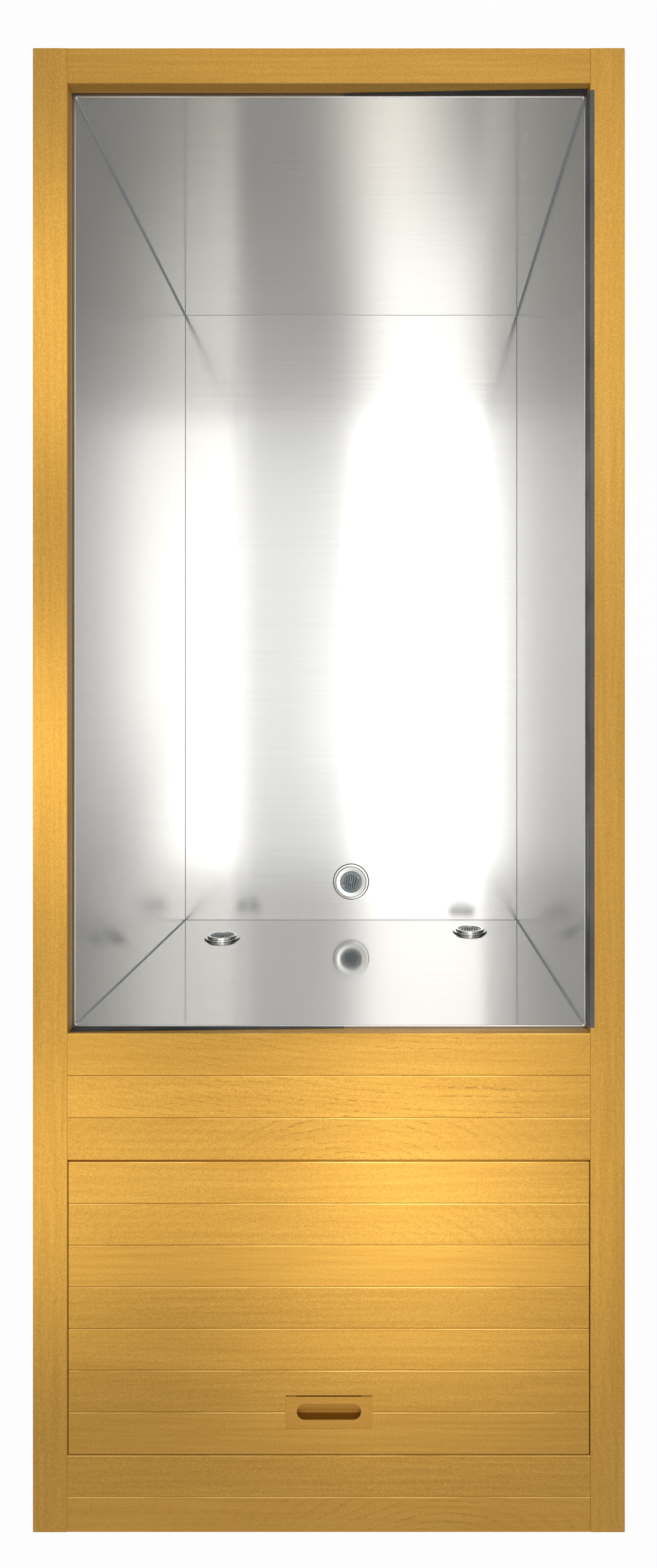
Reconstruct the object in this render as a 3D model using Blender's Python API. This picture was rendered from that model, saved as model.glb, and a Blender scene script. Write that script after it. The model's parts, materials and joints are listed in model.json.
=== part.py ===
"""Cold plunge tub: an insulated stainless tub in a boarded wooden cabinet.

The head end holds the tub. The foot end is an equipment bay with a chiller, a pump and a filter below a
flush hatch. The hatch turns on two concealed pins and has a finger pull let into its boards.

Metres. +Z is up, +Y points to the head end, and the origin is on the floor below the cabinet's middle.
"""

import math

import bmesh
import bpy
from mathutils import Matrix, Quaternion, Vector

# Fits
SEAT = 0.0003  # gap between pieces that rest on or press against each other
RUNNING = 0.0004  # radial gap of a piece that turns or slides in another
SOCKET_PLAY = 0.0004  # radial gap of a pipe in its socket
WELD = 0.000001  # points closer than this are one point

# Facets
FINE = 24  # sides of round pieces that show
PLAIN = 18  # sides of round pieces inside the bay
CORNER_STEPS = 3  # facets of a quarter round
BEND_STEPS = 4  # facets along a pipe bend
PIPE_SIDES = 12
SLOT_STEPS = 6  # facets along a grate's slot
SHARP_ANGLE = 30.0  # degrees between faces that are shaded as an edge

# Tub
TUB_WIDTH = 0.7098  # inside
TUB_LENGTH = 1.2940  # inside
TUB_DEPTH = 0.6380  # rim to floor
TUB_CORNER = 0.0090  # inside bend of the upright corners
SHEET = 0.0020
RIM_WIDTH = 0.0160  # flat rim below the deck
RIM_SHOWN = 0.0035  # part of the rim that shows inside the deck opening
GASKET_THICK = 0.0023
GASKET_SETBACK = 0.0020  # from the rim's outer edge
FOAM_UNDER = 0.0447
FOAM_FOOT = 0.0450

# Cabinet
DECK_THICK = 0.0190
RAIL_WIDTH = 0.0480
EDGE_ROUND = 0.0030
BOARD_THICK = 0.0190
BOARD_GROOVE = 0.0016
SIDE_BOARDS = 12
REVEAL = 0.0030  # deck overhang past the side boards
SKIRT_CLEARANCE = 0.0220
FLOOR_THICK = 0.0177
BASE_HEIGHT = 0.0370
BASE_INSET = 0.0550
BASE_MEMBER = 0.0600
BASE_BAYS = 3
JOIST_WIDTH = 0.0350
JOIST_HEIGHT = 0.0600
JOIST_SETBACK = 0.0030

# Deck boards and hatch
DECK_PITCH = 0.0580  # boards between the tub and the hatch
DECK_PLANKS = 3
PLANK_PITCH = 0.05715  # boards of the hatch, and the one at its foot
HATCH_PLANKS = 7
HATCH_GAP = 0.0020
HATCH_SIDE_GAP = 0.0018
PLANK_CHAMFER = 0.0012
TONGUE = 0.0050  # length and thickness of a board's tongue
TONGUE_PLAY = 0.0004
LEDGER_LAP = 0.0140
LEDGER_THICK = 0.0040
LEDGER_BACK = 0.0135  # from the pivot to the ends of the ledger arms, which stop the open hatch
CLEAT_X = 0.2000
CLEAT_WIDTH = 0.0420
CLEAT_THICK = 0.0200
CLEAT_END = 0.0200
PIN_RADIUS = 0.0030
PIN_LENGTH = 0.0280

# Finger pull
PULL_LENGTH = 0.1180
PULL_WIDTH = 0.0460
PULL_SINK = 0.0010
PULL_LIP = 0.0090
PULL_LIP_THICK = 0.0050
SLOT_LENGTH = 0.0880
SLOT_WIDTH = 0.0223
SLOT_DEPTH = 0.0170
SLOT_LIP = 0.0070
SLOT_UNDERCUT = 0.0060

# Tub fittings
WALL_FLANGE_RADIUS = 0.0340
DRAIN_FLANGE_RADIUS = 0.0382
FLANGE_HEIGHT = 0.0075
FLANGE_EDGE = 0.0030
GRATE_RADIUS = 0.0220
GRATE_THICK = 0.0026
GRATE_SINK = 0.0012
GRATE_SLOTS = 7
GRATE_SLOT_WIDTH = 0.0023
GRATE_RIM = 0.0030
GRATE_WAVE = 0.0016
FITTING_INSET = 0.1104  # from the tub's side walls
SUCTION_HEIGHT = 0.1580  # above the tub floor
RETURN_HEIGHT = 0.1050
DRAIN_FROM_FOOT = 0.0820
TAIL_PAST_FOAM = 0.0100
DRAIN_TAIL = 0.0042  # below the tub's sheet

# Pipes
PIPE_RADIUS = 0.0170
PIPE_BORE = 0.0135
SOCKET_WALL = 0.0050
SOCKET_DEPTH = 0.0200
BEND_RADIUS = 0.0450
ELBOW_RADIUS = 0.0180
PIPE_SLACK = 0.0010  # between a pipe's end and the bottom of its socket
PORT_DROP = 0.0553  # filter ports below the top of the filter

# Pump
PUMP_RUN = 0.1750  # from the foam to the pump's inlet
PUMP_AXIS = 0.0950  # above the bay floor
PUMP_RADIUS = 0.0850
PUMP_DEPTH = 0.0650
PUMP_WALL = 0.0070
PUMP_STUB = 0.0350
PUMP_PLATE = 0.0100
MOTOR_RADIUS = 0.0660
MOTOR_LENGTH = 0.1900
MOTOR_COVER = 0.0300
MOTOR_COVER_STEP = 0.0050
MOTOR_FOOT_WIDTH = 0.1000
MOTOR_FOOT_LENGTH = 0.1200
SHAFT_RADIUS = 0.0080
SHAFT_IN_MOTOR = 0.0600
IMPELLER_RADIUS = 0.0600
IMPELLER_DISC = 0.0040
IMPELLER_HUB = 0.0160
IMPELLER_VANES = 6
VANE_HEIGHT = 0.0260
VANE_THICK = 0.0040

# Filter
FILTER_SHIFT = 0.0200  # left of the middle between the two wall fittings
FILTER_RADIUS = 0.0850
FILTER_WALL = 0.0060
FILTER_HEIGHT = 0.4000
FILTER_FLOOR = 0.0120
FILTER_COLLAR = 0.0070
FILTER_COLLAR_HEIGHT = 0.0150
PORT_STUB = 0.0350
CAP_THICK = 0.0220
CAP_PLUG = 0.0150
CAP_LOBES = 8
CAP_LOBE_DEPTH = 0.0060
CARTRIDGE_RADIUS = 0.0600
CARTRIDGE_HEIGHT = 0.3100
CARTRIDGE_BORE = 0.0200
CARTRIDGE_PLEATS = 18
PLEAT_DEPTH = 0.0090

# Chiller
CHILLER_FROM_SIDE = 0.0250
CHILLER_FROM_FOOT = 0.0400
TRAY_THICK = 0.0030
TRAY_RIM = 0.0150
TRAY_MARGIN = 0.0080
COIL_WIDTH = 0.2700
COIL_HEIGHT = 0.2900
COIL_DEPTH = 0.0400
COIL_FINS = 14
COIL_FIN_DEPTH = 0.0120
SHROUD_DEPTH = 0.0620
SHROUD_SHEET = 0.0025
FAN_RADIUS = 0.1120
FAN_TIP_GAP = 0.0060
FAN_HUB = 0.0380
FAN_HUB_LENGTH = 0.0220
FAN_BLADES = 5
FAN_CHORD = 0.0620
FAN_BLADE_THICK = 0.0030
FAN_PITCH = 20.0  # degrees from the plane of the fan
SPIDER_WIDTH = 0.0140
SPIDER_THICK = 0.0060
FAN_MOTOR_RADIUS = 0.0300
FAN_MOTOR_LENGTH = 0.0190
FAN_SHAFT_RADIUS = 0.0040
EXCHANGER_RADIUS = 0.0600
EXCHANGER_ABOVE_PORT = 0.0686  # from the axis of its upper port to its top
EXCHANGER_DOME = 0.0250
COMPRESSOR_RADIUS = 0.0650
COMPRESSOR_HEIGHT = 0.2400
COMPRESSOR_WALL = 0.0040
COMPRESSOR_STEP_X = 0.0860  # from the exchanger
COMPRESSOR_STEP_Y = 0.1050

# Controls
CONTROL_DEPTH = 0.0550
CONTROL_LENGTH = 0.1800
CONTROL_HEIGHT = 0.1400
CONTROL_LEVEL = 0.4050  # above the bay floor
CONTROL_FROM_FOOT = 0.1950
BUTTON_RADIUS = 0.0090
BUTTON_PROUD = 0.0030
BUTTON_TRAVEL = 0.0020
BUTTON_IN_BOX = 0.0060
BUTTON_FROM_END = 0.0400

# Drain
DRAIN_AXIS = 0.0225  # pipe above the bay floor
DRAIN_SIDE_STEP = 0.1310  # the run past the filter, left of the middle
DRAIN_FIRST_RUN = 0.0450  # straight past the foam
DRAIN_SHIFT_RUN = 0.0900
VALVE_LENGTH = 0.0680
VALVE_STANDOFF = 0.0100  # from the foot wall to the valve's body
VALVE_WALL = 0.0045
VALVE_BORE = 0.0133
VALVE_NECK_RADIUS = 0.0090
VALVE_NECK_HEIGHT = 0.0300  # above the pipe's axis
OUTLET_RADIUS = 0.0165
OUTLET_SETBACK = 0.0030  # inside the outer face of the boards
OUTLET_HOLE_PLAY = 0.0030
THREAD_DEPTH = 0.0010
THREAD_PITCH = 0.0040
THREAD_TURNS = 4
STEM_RADIUS = 0.0038
VANE_DISC_THICK = 0.0040
VANE_DISC_PLAY = 0.0007
LEVER_LENGTH = 0.0950
LEVER_WIDTH = 0.0180
LEVER_THICK = 0.0040

# Foot panel fittings
VENT_WIDTH = 0.2200
VENT_HEIGHT = 0.2600
VENT_LEVEL = 0.0350  # above the bay floor
VENT_LIP = 0.0080
VENT_PROUD = 0.0020
VENT_FRAME = 0.0100
VENT_DEPTH = 0.0170
VENT_SLATS = 9
VENT_SLAT_THICK = 0.0025
VENT_SLAT_TILT = 40.0  # degrees
INLET_FROM_SIDE = 0.0850
INLET_LEVEL = 0.1400
INLET_WIDTH = 0.0500
INLET_HEIGHT = 0.0400
INLET_LIP = 0.0060
INLET_PROUD = 0.0020
INLET_DEPTH = 0.0450
INLET_RECESS = (0.0280, 0.0200, 0.0180)  # width, height and depth of the socket
INLET_PIN = (0.0025, 0.0060, 0.0130)  # width, height and length of a contact
INLET_PIN_STEP = 0.0080
INTAKE_SLOTS = 6
INTAKE_LENGTH = 0.2000
INTAKE_WIDTH = 0.0080
INTAKE_LEVEL = 0.1000  # above the bay floor
INTAKE_FROM_FOOT = 0.1300

# Widths and lengths that follow
OPENING_X = TUB_WIDTH / 2 + RIM_SHOWN
OPENING_LENGTH = TUB_LENGTH + 2 * RIM_SHOWN
HATCH_LENGTH = HATCH_PLANKS * PLANK_PITCH
HALF_WIDTH = OPENING_X + RAIL_WIDTH
DECK_LENGTHS = OPENING_LENGTH, DECK_PLANKS * DECK_PITCH, HATCH_LENGTH, 2 * HATCH_GAP, PLANK_PITCH
HALF_LENGTH = RAIL_WIDTH + sum(DECK_LENGTHS) / 2
OUTER_X = HALF_WIDTH - REVEAL
OUTER_Y = HALF_LENGTH - REVEAL
INNER_X = OUTER_X - BOARD_THICK
INNER_Y = OUTER_Y - BOARD_THICK

# Deck lines along Y
OPENING_HEAD = HALF_LENGTH - RAIL_WIDTH
OPENING_FOOT = OPENING_HEAD - OPENING_LENGTH
HATCH_HEAD_LINE = OPENING_FOOT - DECK_PLANKS * DECK_PITCH
HATCH_HEAD = HATCH_HEAD_LINE - HATCH_GAP
HATCH_FOOT = HATCH_HEAD - HATCH_LENGTH
HATCH_FOOT_LINE = HATCH_FOOT - HATCH_GAP
HATCH_X = OPENING_X - HATCH_SIDE_GAP
TUB_HEAD = OPENING_HEAD - RIM_SHOWN
TUB_FOOT = OPENING_FOOT + RIM_SHOWN
FOAM_FACE = TUB_FOOT - SHEET - SEAT - FOAM_FOOT

# Heights
FLOOR_TOP = BASE_HEIGHT + SEAT + FLOOR_THICK
FOAM_BED_TOP = FLOOR_TOP + SEAT + FOAM_UNDER
TUB_FLOOR = FOAM_BED_TOP + SEAT + SHEET
RIM_TOP = TUB_FLOOR + TUB_DEPTH
DECK_UNDER = RIM_TOP + SEAT + GASKET_THICK + SEAT
DECK_TOP = DECK_UNDER + DECK_THICK

# Joint axes
PIVOT = Vector((0.0, HATCH_HEAD - PLANK_PITCH / 2, DECK_UNDER + DECK_THICK / 2))

# Plumbing
SOCKET_BORE = PIPE_RADIUS + SOCKET_PLAY
SOCKET_RADIUS = SOCKET_BORE + SOCKET_WALL
SUCTION = Vector((-TUB_WIDTH / 2 + FITTING_INSET, TUB_FOOT, TUB_FLOOR + SUCTION_HEIGHT))
RETURN = Vector((TUB_WIDTH / 2 - FITTING_INSET, TUB_FOOT, TUB_FLOOR + RETURN_HEIGHT))
DRAIN = Vector((0.0, TUB_FOOT + DRAIN_FROM_FOOT, TUB_FLOOR))
WALL_TAIL = SHEET + SEAT + FOAM_FOOT + TAIL_PAST_FOAM
TAIL_END = TUB_FOOT - WALL_TAIL
PUMP_INLET = Vector((SUCTION.x, FOAM_FACE - PUMP_RUN, FLOOR_TOP + PUMP_AXIS))
PUMP_BACK = PUMP_STUB + PUMP_DEPTH  # from the inlet to the open back of the pump head
PUMP_OUTLET_Y = PUMP_INLET.y - PUMP_STUB - PUMP_DEPTH / 2
PUMP_OUTLET_TOP = PUMP_INLET.z + PUMP_RADIUS + PUMP_STUB
FILTER = Vector((-FILTER_SHIFT, PUMP_OUTLET_Y, FLOOR_TOP + SEAT))
RISER_HEIGHT = SEAT + FILTER_HEIGHT - PORT_DROP  # filter ports above the bay floor
PORT_LEVEL = FLOOR_TOP + RISER_HEIGHT
TRAY_TOP = FLOOR_TOP + SEAT + TRAY_THICK
EXCHANGER = Vector((RETURN.x, FILTER.y, TRAY_TOP + SEAT))
EXCHANGER_HEIGHT = PORT_LEVEL + EXCHANGER_ABOVE_PORT - EXCHANGER.z
COMPRESSOR = EXCHANGER - Vector((COMPRESSOR_STEP_X, COMPRESSOR_STEP_Y, 0.0))
SHROUD_FOOT = -INNER_Y + CHILLER_FROM_FOOT
SHROUD_HEAD = SHROUD_FOOT + SHROUD_DEPTH
COIL_FOOT = SHROUD_HEAD + SEAT
COIL_RIGHT = INNER_X - CHILLER_FROM_SIDE
COIL_LEFT = COIL_RIGHT - COIL_WIDTH
COIL_LOW = TRAY_TOP + SEAT
COIL_HIGH = COIL_LOW + COIL_HEIGHT
FAN_FOOT = SHROUD_FOOT + SPIDER_THICK + FAN_MOTOR_LENGTH
FAN = Vector(((COIL_LEFT + COIL_RIGHT) / 2, FAN_FOOT, (COIL_LOW + COIL_HIGH) / 2))
DRAIN_LEVEL = FLOOR_TOP + DRAIN_AXIS
OUTLET_END = -OUTER_Y + OUTLET_SETBACK
VALVE_RADIUS = SOCKET_BORE + VALVE_WALL
VALVE_START = -INNER_Y + SEAT + VALVE_STANDOFF + VALVE_LENGTH
STEM_Y = VALVE_START - (VALVE_LENGTH + SOCKET_DEPTH) / 2
STEM = Vector((-DRAIN_SIDE_STEP, STEM_Y, DRAIN_LEVEL))

HEAD_WARD = Vector((0.0, 1.0, 0.0))
FOOT_WARD = -HEAD_WARD
RIGHT_WARD = Vector((1.0, 0.0, 0.0))
UP = Vector((0.0, 0.0, 1.0))


def clear_scene():
    for obj in list(bpy.data.objects):
        bpy.data.objects.remove(obj, do_unlink=True)


def finish(name, colour, roughness, metallic=0.0):
    """A plain surface finish."""
    material = bpy.data.materials.new(name)
    material.use_nodes = True
    shader = material.node_tree.nodes["Principled BSDF"]
    shader.inputs["Base Color"].default_value = (*colour, 1.0)
    shader.inputs["Roughness"].default_value = roughness
    shader.inputs["Metallic"].default_value = metallic
    return material


def piece(name, bm, material=None):
    """Turns a bmesh into an object of the scene, with its faces pointing out."""
    bmesh.ops.recalc_face_normals(bm, faces=bm.faces)
    mesh = bpy.data.meshes.new(name)
    bm.to_mesh(mesh)
    bm.free()
    mesh.shade_smooth()
    mesh.set_sharp_from_angle(angle=math.radians(SHARP_ANGLE))
    if material:
        mesh.materials.append(material)
    obj = bpy.data.objects.new(name, mesh)
    bpy.context.scene.collection.objects.link(obj)
    return obj


def aim(obj, place, axis):
    """Puts an object's origin at a place and its local Z along an axis."""
    obj.location = place
    obj.rotation_euler = UP.rotation_difference(Vector(axis)).to_euler()
    return obj


def block(name, low, high, material=None):
    """A rectangular piece between two opposite corners."""
    low, high = Vector(low), Vector(high)
    bm = bmesh.new()
    bmesh.ops.create_cube(bm, size=1.0)
    bmesh.ops.scale(bm, vec=high - low, verts=bm.verts)
    bmesh.ops.translate(bm, vec=(low + high) / 2, verts=bm.verts)
    return piece(name, bm, material)


def extruded(outline, along, start, end):
    """A bmesh of an outline extruded along axis 0, 1 or 2. Its points hold the other two coordinates."""
    across = [axis for axis in range(3) if axis != along]
    bm = bmesh.new()
    ring = []
    for pair in outline:
        place = Vector()
        place[along] = start
        for axis, value in zip(across, pair):
            place[axis] = value
        ring.append(bm.verts.new(place))
    made = bmesh.ops.extrude_face_region(bm, geom=[bm.faces.new(ring)])
    step = Vector()
    step[along] = end - start
    raised = [item for item in made["geom"] if isinstance(item, bmesh.types.BMVert)]
    bmesh.ops.translate(bm, vec=step, verts=raised)
    return bm


def prism(name, outline, along, start, end, material=None):
    return piece(name, extruded(outline, along, start, end), material)


def turned(name, profile, material=None, sides=PLAIN):
    """A profile of (radius, height) points turned about Z. Off the axis, the profile closes on itself."""
    bm = bmesh.new()
    points = [bm.verts.new((radius, 0.0, height)) for radius, height in profile]
    lines = [bm.edges.new(pair) for pair in zip(points, points[1:])]
    if profile[0][0] > 0:
        lines.append(bm.edges.new((points[-1], points[0])))
    bmesh.ops.spin(
        bm,
        geom=points + lines,
        cent=(0, 0, 0),
        axis=(0, 0, 1),
        angle=2 * math.pi,
        steps=sides,
        use_merge=True,
    )
    bmesh.ops.remove_doubles(bm, verts=bm.verts, dist=WELD)
    return piece(name, bm, material)


def bar(name, start, end, radius, material=None, sides=PLAIN):
    """A round bar from one point to another."""
    start, end = Vector(start), Vector(end)
    bm = bmesh.new()
    bmesh.ops.create_cone(
        bm, cap_ends=True, segments=sides, radius1=radius, radius2=radius, depth=(end - start).length
    )
    turn = UP.rotation_difference(end - start).to_matrix().to_4x4()
    bmesh.ops.transform(bm, matrix=Matrix.Translation((start + end) / 2) @ turn, verts=bm.verts)
    return piece(name, bm, material)


def lofted(name, rings, material=None, closed=False):
    """Rings of equally many points joined in order, and capped, or joined back to the first ring."""
    bm = bmesh.new()
    loops = [[bm.verts.new(place) for place in ring] for ring in rings]
    pairs = list(zip(loops, loops[1:]))
    if closed:
        pairs.append((loops[-1], loops[0]))
    else:
        bm.faces.new(loops[0])
        bm.faces.new(loops[-1])
    for lower, upper in pairs:
        for i in range(len(lower)):
            bm.faces.new((lower[i - 1], lower[i], upper[i], upper[i - 1]))
    return piece(name, bm, material)


def rounded(x_low, x_high, y_low, y_high, radius, steps=CORNER_STEPS):
    """Outline of a rectangle with round corners."""
    centres = (
        (x_high - radius, y_low + radius, -90.0),
        (x_high - radius, y_high - radius, 0.0),
        (x_low + radius, y_high - radius, 90.0),
        (x_low + radius, y_low + radius, 180.0),
    )
    points = []
    for x, y, start in centres:
        for step in range(steps + 1):
            angle = math.radians(start + 90.0 * step / steps)
            points.append((x + radius * math.cos(angle), y + radius * math.sin(angle)))
    return points


def at_height(outline, height):
    return [(x, y, height) for x, y in outline]


def bent_route(corners, radius):
    """A pipe's route with its corners rounded to a bend radius."""
    corners = [Vector(corner) for corner in corners]
    route = [corners[0]]
    for before, corner, after in zip(corners, corners[1:], corners[2:]):
        way_in = (before - corner).normalized()
        way_out = (after - corner).normalized()
        half = way_in.angle(way_out) / 2
        middle = corner + (way_in + way_out).normalized() * radius / math.sin(half)
        first = corner + way_in * radius / math.tan(half) - middle
        last = corner + way_out * radius / math.tan(half) - middle
        turn = first.rotation_difference(last)
        for step in range(BEND_STEPS + 1):
            part_turn = Quaternion().slerp(turn, step / BEND_STEPS)
            route.append(middle + part_turn @ first)
    route.append(corners[-1])
    return route


def swept(name, route, radius, material=None):
    """A round rod along a route, made from a bevelled curve."""
    curve = bpy.data.curves.new(name, "CURVE")
    curve.dimensions = "3D"
    curve.bevel_depth = radius
    curve.bevel_resolution = (PIPE_SIDES - 4) // 2
    curve.use_fill_caps = True
    spline = curve.splines.new("POLY")
    spline.points.add(len(route) - 1)
    for point, place in zip(spline.points, route):
        point.co = (*place, 1.0)
    guide = bpy.data.objects.new(name + "_guide", curve)
    bpy.context.scene.collection.objects.link(guide)
    mesh = guide.to_mesh()
    bm = bmesh.new()
    bm.from_mesh(mesh)
    guide.to_mesh_clear()
    bpy.data.objects.remove(guide)
    bmesh.ops.remove_doubles(bm, verts=bm.verts, dist=WELD)
    return piece(name, bm, material)


def boolean(target, other, operation):
    """Joins or cuts a piece with a helper, which is then left out of the part."""
    modifier = target.modifiers.new(other.name, "BOOLEAN")
    modifier.operation = operation
    modifier.object = other
    modifier.solver = "EXACT"
    other.hide_render = True
    other.display_type = "WIRE"
    return target


def cut(target, cutter):
    return boolean(target, cutter, "DIFFERENCE")


def join(target, other):
    return boolean(target, other, "UNION")


def drill(target, start, end, radius, sides=PLAIN):
    return cut(target, bar(f"{target.name}_drill", start, end, radius, sides=sides))


def pipe(name, corners, radius, material):
    """A hollow pipe along a route with bends."""
    route = bent_route(corners, radius)
    past_start = route[0] + (route[0] - route[1]).normalized() * PIPE_RADIUS
    past_end = route[-1] + (route[-1] - route[-2]).normalized() * PIPE_RADIUS
    wall = swept(name, route, PIPE_RADIUS, material)
    return cut(wall, swept(name + "_bore", [past_start, *route[1:-1], past_end], PIPE_BORE))


def socket_stub(target, start, way, length, bore_from):
    """A pipe socket that stands out from a piece. The bore begins inside the piece."""
    end = start + way * length
    join(target, bar(f"{target.name}_stub", start, end, SOCKET_RADIUS))
    return drill(target, end - way * bore_from, end + way * SOCKET_DEPTH, SOCKET_BORE)


def hinge_empty(name, place, *children):
    """An empty on a joint's axis, which carries the pieces that turn about it."""
    empty = bpy.data.objects.new(name, None)
    empty.location = place
    bpy.context.scene.collection.objects.link(empty)
    for child in children:
        child.parent = empty
        child.matrix_parent_inverse = Matrix.Translation(-Vector(place))


def build_base(wood, plywood):
    """The plinth frame and the floor panel that carries the tub and the equipment."""
    reach_x = HALF_WIDTH - BASE_INSET
    reach_y = HALF_LENGTH - BASE_INSET
    base = block("base_frame", (-reach_x, -reach_y, 0.0), (reach_x, reach_y, BASE_HEIGHT), wood)
    bay = (2 * reach_y - (BASE_BAYS + 1) * BASE_MEMBER) / BASE_BAYS
    window_x = reach_x - BASE_MEMBER
    for index in range(BASE_BAYS):
        foot = -reach_y + BASE_MEMBER + index * (bay + BASE_MEMBER)
        low = (-window_x, foot, -BASE_HEIGHT)
        cut(base, block("base_window", low, (window_x, foot + bay, 2 * BASE_HEIGHT)))
    inside_x = INNER_X - SEAT
    inside_y = INNER_Y - SEAT
    low = (-inside_x, -inside_y, BASE_HEIGHT + SEAT)
    block("floor_panel", low, (inside_x, inside_y, FLOOR_TOP), plywood)


def boarded_section(outer, inner):
    """Section of a wall of level boards, with V grooves between them on its outer face."""
    bottom = SKIRT_CLEARANCE
    top = DECK_UNDER - SEAT
    pitch = (top - bottom) / SIDE_BOARDS
    inward = math.copysign(BOARD_GROOVE, inner - outer)
    points = [(inner, bottom), (inner, top), (outer, top)]
    for board in range(SIDE_BOARDS - 1, 0, -1):
        joint = bottom + board * pitch
        points += [(outer, joint + BOARD_GROOVE), (outer + inward, joint), (outer, joint - BOARD_GROOVE)]
    return points + [(outer, bottom)]


def mitred_wall(name, along, side, material):
    """One boarded wall. Its two upright ends are cut at 45 degrees to meet the next walls."""
    across = 1 - along
    outer = (OUTER_X, OUTER_Y)[across] * side
    inner = (INNER_X, INNER_Y)[across] * side
    reach = (OUTER_X, OUTER_Y)[along]
    bm = extruded(boarded_section(outer, inner), along, -reach, reach)
    for end in (-1, 1):
        normal = Vector()
        normal[along] = end
        normal[across] = -side
        normal.normalize()
        corner = Vector((0.0, 0.0, 0.0))
        corner[along] = end * reach
        corner[across] = outer
        every = bm.verts[:] + bm.edges[:] + bm.faces[:]
        mitre = bmesh.ops.bisect_plane(
            bm, geom=every, plane_co=corner - normal * SEAT / 2, plane_no=-normal, clear_inner=True
        )
        edges = [item for item in mitre["geom_cut"] if isinstance(item, bmesh.types.BMEdge)]
        bmesh.ops.edgeloop_fill(bm, edges=edges)
    return piece(name, bm, material)


def build_walls(wood):
    """The four walls, with the ways through the foot wall and the air intake slots in the right wall."""
    mitred_wall("side_panel_left", 1, -1, wood)
    right = mitred_wall("side_panel_right", 1, 1, wood)
    mitred_wall("side_panel_head", 0, 1, wood)
    foot = mitred_wall("side_panel_foot", 0, -1, wood)

    pitch = (DECK_UNDER - SEAT - SKIRT_CLEARANCE) / SIDE_BOARDS
    slot_foot = -INNER_Y + INTAKE_FROM_FOOT
    for index in range(INTAKE_SLOTS):
        level = FLOOR_TOP + INTAKE_LEVEL + index * pitch / 2
        low = (INNER_X - BOARD_THICK, slot_foot, level)
        high = (OUTER_X + BOARD_THICK, slot_foot + INTAKE_LENGTH, level + INTAKE_WIDTH)
        cut(right, block("intake_slot", low, high))

    vent_low, vent_high = vent_opening()
    cut(foot, block("vent_way", vent_low, vent_high))
    inlet_low, inlet_high = inlet_opening()
    cut(foot, block("inlet_way", inlet_low, inlet_high))
    outlet = Vector((STEM.x, -INNER_Y, DRAIN_LEVEL))
    reach = HEAD_WARD * 2 * BOARD_THICK
    drill(foot, outlet + reach, outlet - reach, OUTLET_RADIUS + OUTLET_HOLE_PLAY, FINE)


def vent_opening():
    """Corners of the way through the foot wall for the vent grille."""
    level = FLOOR_TOP + VENT_LEVEL
    low = Vector((FAN.x - VENT_WIDTH / 2, -OUTER_Y - BOARD_THICK, level))
    high = Vector((FAN.x + VENT_WIDTH / 2, -INNER_Y + BOARD_THICK, level + VENT_HEIGHT))
    return low, high


def inlet_opening():
    """Corners of the way through the foot wall for the power inlet."""
    left = -INNER_X + INLET_FROM_SIDE
    level = FLOOR_TOP + INLET_LEVEL
    low = Vector((left, -OUTER_Y - BOARD_THICK, level))
    high = Vector((left + INLET_WIDTH, -INNER_Y + BOARD_THICK, level + INLET_HEIGHT))
    return low, high


def rail_section(outer, inner):
    """Section of a deck rail: a round outer top edge and an eased inner one."""
    inward = math.copysign(1.0, inner - outer)
    points = [(outer, DECK_UNDER), (inner, DECK_UNDER), (inner, DECK_TOP - PLANK_CHAMFER)]
    points.append((inner - inward * PLANK_CHAMFER, DECK_TOP))
    for step in range(CORNER_STEPS + 1):
        angle = math.radians(90.0 * step / CORNER_STEPS)
        run = outer + inward * EDGE_ROUND * (1 - math.sin(angle))
        points.append((run, DECK_TOP - EDGE_ROUND * (1 - math.cos(angle))))
    return points


def plank_section(low, high, tongue, groove):
    """Section of a deck board along Y: eased top edges, a tongue to the foot and a groove to the head."""
    middle = DECK_UNDER + DECK_THICK / 2
    half = TONGUE / 2
    slot = half + TONGUE_PLAY
    depth = TONGUE + TONGUE_PLAY
    points = [(low, DECK_UNDER), (high, DECK_UNDER)]
    if groove:
        points += [(high, middle - slot), (high - depth, middle - slot)]
        points += [(high - depth, middle + slot), (high, middle + slot)]
    points += [(high, DECK_TOP - PLANK_CHAMFER), (high - PLANK_CHAMFER, DECK_TOP)]
    points += [(low + PLANK_CHAMFER, DECK_TOP), (low, DECK_TOP - PLANK_CHAMFER)]
    if tongue:
        points += [(low, middle + half), (low - TONGUE, middle + half)]
        points += [(low - TONGUE, middle - half), (low, middle - half)]
    return points


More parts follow.
